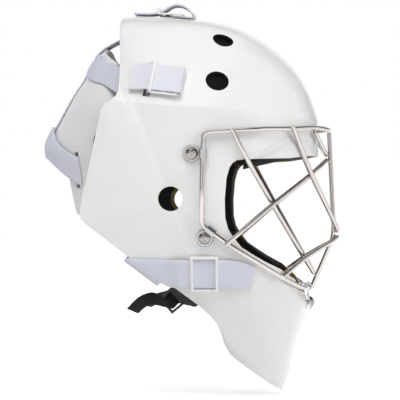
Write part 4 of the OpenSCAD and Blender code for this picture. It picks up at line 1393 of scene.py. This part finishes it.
@dataclass
class BackPlate:
    """The plate behind the head, its foam and its straps."""

    thick: float = 3.0
    pad: float = 8.0
    pad_gap: float = 1.4
    wide: float = STRAP_WIDE
    strap: float = STRAP_THICK
    ears: float = 0.3
    # Each slot's b, z, length and lean in degrees
    slots: tuple = ((0.45, 119, 27, -16), (0.775, 25, 31, 0))
    slot_wide: float = 4.0
    slot_deep: float = 16.0

    def band(self, name: str, rows: Sequence[tuple]) -> Piece:
        """Makes a strap on the plate.

        Args:
            name: the piece's name.
            rows: one edge and the other as b and z, and the lift.

        Returns:
            The strap.
        """
        columns = 6

        def between(a: float, b: float, k: int) -> float:
            """Gives the k-th value from a to b."""
            return a + (b - a) * k / columns

        return laid(name, [[PLATE_SHAPE.lifted(between(p[0], q[0], k), between(p[1], q[1], k), lift)
                            for k in range(columns + 1)] for p, q, lift in rows], self.strap)

    def build(self) -> None:
        """Makes the plate with its slots, the foam and the straps."""
        piece = slab("plate_moulding", PLATE_SHAPE.grid(0, 0, 40, 96, self.ears),
                     PLATE_SHAPE.grid(0, -self.thick, 40, 96, self.ears))
        tools = []
        for b, z, long, lean in self.slots:
            for side in (-1, 1):
                at, n = PLATE_SHAPE.point(side * b, z), PLATE_SHAPE.normal(side * b, z)
                u = (PLATE_SHAPE.point(side * (b + 0.02), z) - at).normalized()
                turn = Matrix.Rotation(math.radians(lean * side), 3, n)
                tools.append(block([at, turn @ u, turn @ n.cross(u), n],
                                   Vector((self.slot_wide, long, self.slot_deep))))
        cut(piece, joined(tools))
        soften(piece, 0.9, 3, 50)
        settle(piece, "back_plate", PLATE)
        near = -self.thick - self.pad_gap
        foam = slab("plate_foam", PLATE_SHAPE.grid(0.1, near, 16, 40),
                    PLATE_SHAPE.grid(0.16, near - self.pad, 16, 40))
        Liner().finish_pad(foam, "back_plate_pad")
        half = math.degrees(math.asin(self.wide / PLATE_SHAPE.WIDE)) / PLATE_SHAPE.TURN
        spine = [((-half, z), (half, z), self.strap) for z in (39, 46, 56, 66, 80, 94, 106, 117, 125.6)]
        settle(self.band("spine_webbing", spine), "spine_strap", WEBBING_Z_PAINTED_SHADE)
        rows = [(0, 50, 3.6), (0.12, 50, 3.6), (0.26, 48, 3), (0.42, 42, 2.5), (0.58, 34, 2.5),
                (0.74, 27.2, 2.2), (0.83, 23.5, 1.2)]
        across = [(-b, z, lift) for b, z, lift in rows[:0:-1]] + rows
        settle(self.band("cross_webbing", [((b, z - self.wide / 2), (b, z + self.wide / 2), lift)
                                           for b, z, lift in across]), "cross_strap", WEBBING_Y_PAINTED_SHADE)


@dataclass
class Elastics:
    """The elastics that join the shell and the back plate."""

    wide: float = STRAP_WIDE
    thick: float = STRAP_THICK
    wall: float = WALL
    inner_gap: float = 1.8
    plate_gap: float = 0.8

    def settle_blend(self, piece: Piece, node: str, start: Vector, end: Vector) -> None:
        """Dresses an elastic, bakes its place into its mesh and stands it in for its node.

        Args:
            piece: the elastic.
            node: the CAD node that it stands for.
            start: where the shell stops holding it, in millimetres; not used.
            end: where the plate starts to, in millimetres; not used.
        """
        # The elastics take the darkest copy of the webbing, its tone lowered as painted shade
        DRESSER.dress(piece, WEBBING_BACK_PAINTED_SHADE)
        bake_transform(piece)
        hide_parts(node)
        log.info("%s stands for %s", piece.name, node)

    def build(self) -> None:
        """Makes the five elastics."""
        inner = -self.wall - self.inner_gap - self.thick / 2
        lift = self.thick / 2 + self.plate_gap
        half = self.wide / 2 - 1

        def inside(x: float, z: float, drop: float) -> tuple[Vector, Vector]:
            """Gives edge points under the wall."""
            return SKIN.on_side(x, z - half, inner - drop), SKIN.on_side(x, z + half, inner - drop)

        def outside(low: Point, high: Point) -> tuple[Vector, Vector]:
            """Gives edge points on the plate."""
            return PLATE_SHAPE.lifted(-low[0], low[1], lift), PLATE_SHAPE.lifted(-high[0], high[1], lift)

        stations = [inside(-18, 102, 0), inside(-38, 104, 2), outside((1.04, 98), (1.04, 118)),
                    outside((0.85, 101), (0.9, 121.5)), outside((0.62, 104.5), (0.73, 124.5)),
                    outside((0.38, 108.5), (0.56, 126.5))]
        upper = ribbon("upper_elastic_webbing_right", stations, self.thick)
        stations = [(SKIN.on_side(-9.5, -65, inner - 0.9), SKIN.on_side(-37, -44.5, inner - 0.9)),
                    (SKIN.on_side(-24, -50, inner - 2), SKIN.on_side(-47, -31, inner - 2)),
                    (PLATE_SHAPE.lifted(-1.02, -13, lift), PLATE_SHAPE.lifted(-1.02, 9, lift)),
                    (PLATE_SHAPE.lifted(-0.9, -10, lift), PLATE_SHAPE.lifted(-0.9, 12, lift))]
        lower = ribbon("lower_elastic_webbing_right", stations, self.thick)
        for right, node, a, b in (
                (upper, "upper_elastic", Vector((-40, -92, 103)), Vector((-66, -76, 108))),
                (lower, "lower_elastic", Vector((-36, -84, -38)), Vector((-58, -82, -4)))):
            left = mirrored(right, right.name.replace("right", "left"))
            self.settle_blend(right, node + "_right", a, b)
            self.settle_blend(left, node + "_left", other_side(a), other_side(b))
        hand = [(-4, 155.5), (-25, 153), (-40, 148), (-53.5, 141)]
        on_plate = [PLATE_SHAPE.lifted(0, z, lift) for z in (134, 126)]
        middle = [Vector((x, 0, z)) for x, z in hand] + [Vector((p.x, 0, p.z)) for p in on_plate]
        stations = [edges(p, Vector((0, 1, 0)), self.wide) for p in middle]
        crown = ribbon("crown_elastic_webbing", stations, self.thick)
        self.settle_blend(crown, "crown_elastic", Vector((-28, 0, 152)), Vector((-60, 0, 138)))


@dataclass
class ChinSling:
    """The chin cup on its webbing, and the tabs that carry it."""

    cup_depth: float = 30.0
    cup_thick: float = 3.0
    pad_thick: float = 5.0
    wide: float = 12.0
    thick: float = 1.3
    tab: float = 1.2
    tab_gap: float = 1.2
    slope: float = -40.0
    ring: float = 14.0
    ring_bar: float = 2.2
    left_sag: float = 6.0

    def build(self) -> None:
        """Makes the cup, its foam, the straps and the tabs."""
        liner = Liner()
        cup = liner.middle_pad("cup_moulding", -56, -43, 2.3, self.cup_depth, self.cup_thick, 0.04)
        soften(cup, 0.8, 3, 45)
        settle(cup, "chin_cup", CUP)
        near = self.cup_depth + self.cup_thick + 0.3
        foam = liner.middle_pad("cup_foam", -55, -44, 2.34, near, self.pad_thick, 0.08)
        liner.finish_pad(foam, "chin_cup_pad", 1.4)
        slope = math.radians(self.slope)
        forward = Vector((math.cos(slope), 0, -math.sin(slope)))
        across = Vector((-math.sin(slope), 0, -math.cos(slope)))
        at = Vector((-1.5, -69, -88.2))
        lift = self.thick / 2 + 0.7 - self.cup_depth

        def on_cup(t: float) -> tuple[Vector, Vector]:
            """Gives a middle point on the cup and the way across."""
            low, high = SKIN.lifted(-51.5, t, lift), SKIN.lifted(-47.5, t, lift)
            return SKIN.lifted(-49.5, t, lift), (low - high).normalized()

        def strap(name: str, sag: float) -> Piece:
            """Makes the strap, whose free end hangs lower by sag."""
            rows = [on_cup(2.5), on_cup(2.3)]
            rows += [(Vector(p), Vector(d)) for p, d in (
                ((50, -43, -98), (-0.3, 0.5, -0.8)), ((28, -56, -88.5), (-0.2, 0.6, -0.77)),
                ((11, -63, -87.5), (0.2, 0.45, -0.85)))]
            rows += [(at + forward * 4 + Vector((0, 2.3, 0)), across),
                     (at - forward * 3 + Vector((0, -2.3, 0)), across)]
            rows += [(Vector((x, y, z - sag * share)), Vector(d)) for (x, y, z), d, share in (
                ((-9, -72, -88.4), (0.45, -0.1, -0.88), 0.3),
                ((-15.5, -71.5, -86.4), (0.3, -0.3, -0.9), 0.9),
                ((-21.5, -71, -87), (0.45, -0.4, -0.78), 1.0),
                ((-28, -70, -90.2), (0.62, -0.5, -0.6), 0.8),
                ((-35.4, -68, -97.3), (0.85, -0.45, -0.3), 0.4))]
            return ribbon(name, [edges(p, d, self.wide) for p, d in rows], self.thick)

        depth = -WALL - self.tab / 2 - self.tab_gap
        end = at + forward * (self.ring - self.ring_bar) / 2
        end -= Vector((0, (self.ring_bar + self.tab) / 2 + 0.3, 0))
        tab = ribbon("chin_tab_right", [
            (SKIN.on_side(-6, -62, depth), SKIN.on_side(28, -74, depth)),
            (SKIN.on_side(-2, -74, depth), SKIN.on_side(22, -87, depth)),
            (Vector((-1.2, -77.5, -78.5)), Vector((20, -72.5, -93))),
            edges(end, across, self.wide)], self.tab)
        settle(mirrored(tab, "chin_tab_left"), "chin_anchor_left", WEBBING_BLACK)
        settle(tab, "chin_anchor_right", WEBBING_BLACK)
        settle(strap("chin_webbing_right", 0.0), "chin_strap_right", WEBBING_BLACK)
        # The left free end hangs lower than the right one
        low = strap("chin_webbing_low", self.left_sag)
        settle(mirrored(low, "chin_webbing_left"), "chin_strap_left", WEBBING_BLACK)
        bpy.data.objects.remove(low, do_unlink=True)


@dataclass
class Studio:
    """The camera, a pale floor and soft light."""

    target: tuple = (0.0195, 0.0, -0.001)
    distance: float = 1.75
    azimuth: float = 3.1
    lens: float = 175.0
    floor_z: float = -0.1745
    # Place, size and power
    lamps: tuple = (((-0.1, -1.45, 2.05), 1.4, 32.0), ((2.0, -0.9, 0.3), 1.2, 13.0),
                    ((-1.8, 0.9, 1.0), 1.2, 5.0))
    lamp_target: tuple = (0.02, 0, 0)
    # Brightness of what reflections see, along an axis that runs from 0 at its lowest to 1
    bands: tuple = (
        ("Z", ((0.0, 0.9), (0.3, 0.9), (0.36, 0.12), (0.44, 0.12), (0.5, 1.0), (0.7, 1.0), (0.76, 0.25),
               (0.84, 0.25), (0.9, 1.0))),
        ("X", ((0.0, 0.3), (0.12, 0.3), (0.2, 1.0), (0.62, 1.0), (0.7, 0.2), (0.8, 0.2), (0.88, 1.0))))
    world_light: float = 0.37
    floor_glow: float = 0.7

    def aim(self, name: str, data: bpy.types.ID, place: Vector, target: Vector) -> Piece:
        """Puts a camera or a lamp at a place and turns it to a target.

        Args:
            name: its name.
            data: the camera or the lamp.
            place: where it stands, in metres.
            target: what it looks at, in metres.

        Returns:
            The new object.
        """
        thing = add_object(name, data)
        thing.location = place
        thing.rotation_euler = (target - place).to_track_quat("-Z", "Y").to_euler()
        return thing

    def camera(self) -> None:
        """Adds the camera at the photograph's angle."""
        a = math.radians(self.azimuth)
        target = Vector(self.target)
        place = target + Vector((math.sin(a), -math.cos(a), 0)) * self.distance
        data = bpy.data.cameras.new("camera")
        data.lens, data.sensor_width = self.lens, 36.0
        bpy.context.scene.camera = self.aim("camera", data, place, target)

    def seen(self, tree: Tree) -> Socket:
        """Adds a socket that is 1 for camera, glossy and transmission rays."""
        path = add_node(tree, "ShaderNodeLightPath").outputs
        seen = path["Is Camera Ray"]
        for ray in ("Is Glossy Ray", "Is Transmission Ray"):
            either = add_node(tree, "ShaderNodeMath", {0: seen, 1: path[ray]}, operation="MAXIMUM")
            seen = either.outputs[0]
        return seen

    def flags(self, tree: Tree) -> Socket:
        """Adds dark flags round the set, which only reflections show, and gives their colour.

        Args:
            tree: the world's tree.

        Returns:
            The colour in each direction.
        """
        ray = add_node(tree, "ShaderNodeTexCoord").outputs["Generated"]
        axes = add_node(tree, "ShaderNodeSeparateXYZ", {0: ray})
        bands = []
        for axis, stops in self.bands:
            place = add_node(tree, "ShaderNodeMath", {0: axes.outputs[axis], 1: 0.5, 2: 0.5},
                             operation="MULTIPLY_ADD")
            ramp = add_node(tree, "ShaderNodeValToRGB", {0: place.outputs[0]})
            for number, (at, level) in enumerate(stops):
                elements = ramp.color_ramp.elements
                stop = elements[number] if number < 2 else elements.new(at)
                stop.position, stop.color = at, (level, level, level, 1)
            bands.append(ramp.outputs[0])
        darker = add_node(tree, "ShaderNodeMix", {0: 1.0, 6: bands[0], 7: bands[1]},
                          data_type="RGBA", blend_type="MULTIPLY")
        return darker.outputs[2]

    def world(self) -> None:
        """Makes the world white to look at and softer as a light."""
        world = bpy.data.worlds.new("studio")
        tree = clean_tree(world)
        glossy = add_node(tree, "ShaderNodeLightPath").outputs["Is Glossy Ray"]
        shown = add_node(tree, "ShaderNodeMix", {0: glossy, 6: (1, 1, 1, 1), 7: self.flags(tree)},
                         data_type="RGBA")
        white = add_node(tree, "ShaderNodeBackground", {"Color": shown.outputs[2], "Strength": 1.0})
        light = add_node(tree, "ShaderNodeBackground", {
            "Color": (1, 1, 1, 1), "Strength": self.world_light})
        mix = add_node(tree, "ShaderNodeMixShader", {
            0: self.seen(tree), 1: light.outputs[0], 2: white.outputs[0]})
        add_node(tree, "ShaderNodeOutputWorld", {"Surface": mix.outputs[0]})
        bpy.context.scene.world = world

    def floor(self) -> None:
        """Adds the pale floor."""
        bpy.ops.object.select_all(action="DESELECT")
        bpy.ops.mesh.primitive_plane_add(size=14, location=(0, 0, self.floor_z))
        floor = bpy.context.active_object
        floor.name = "floor"
        bpy.ops.object.transform_apply(location=True, rotation=True, scale=True)
        material = bpy.data.materials.new("studio_floor")
        tree = clean_tree(material)
        matt = add_node(tree, "ShaderNodeBsdfDiffuse", {"Color": linear("#EDEDED")})
        glow = add_node(tree, "ShaderNodeEmission", {"Color": (1, 1, 1, 1), "Strength": self.floor_glow})
        lit = add_node(tree, "ShaderNodeAddShader", {0: matt.outputs[0], 1: glow.outputs[0]})
        mix = add_node(tree, "ShaderNodeMixShader", {
            0: self.seen(tree), 1: matt.outputs[0], 2: lit.outputs[0]})
        add_node(tree, "ShaderNodeOutputMaterial", {"Surface": mix.outputs[0]})
        floor.data.materials.append(material)

    def lights(self) -> None:
        """Adds the soft lamps."""
        for number, (place, size, power) in enumerate(self.lamps):
            data = bpy.data.lights.new(f"softbox_{number}", "AREA")
            data.energy, data.size = power, size
            lamp = self.aim(data.name, data, Vector(place), Vector(self.lamp_target))
            lamp.visible_glossy = False

    def build(self) -> None:
        """Sets the whole studio."""
        bpy.context.scene.view_settings.view_transform = "Standard"
        self.camera()
        self.world()
        self.floor()
        self.lights()


def main() -> None:
    """Builds the studio and every sub-assembly."""
    logging.basicConfig(level=logging.INFO, format="%(name)s: %(message)s")
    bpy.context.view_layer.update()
    for part in (Studio(), Shell(), Cage(), Hardware(), Liner(), Harness(), BackPlate(), Elastics(),
                 ChinSling()):
        part.build()
        log.info("%s is done", type(part).__name__)


if __name__ == "__main__":
    main()
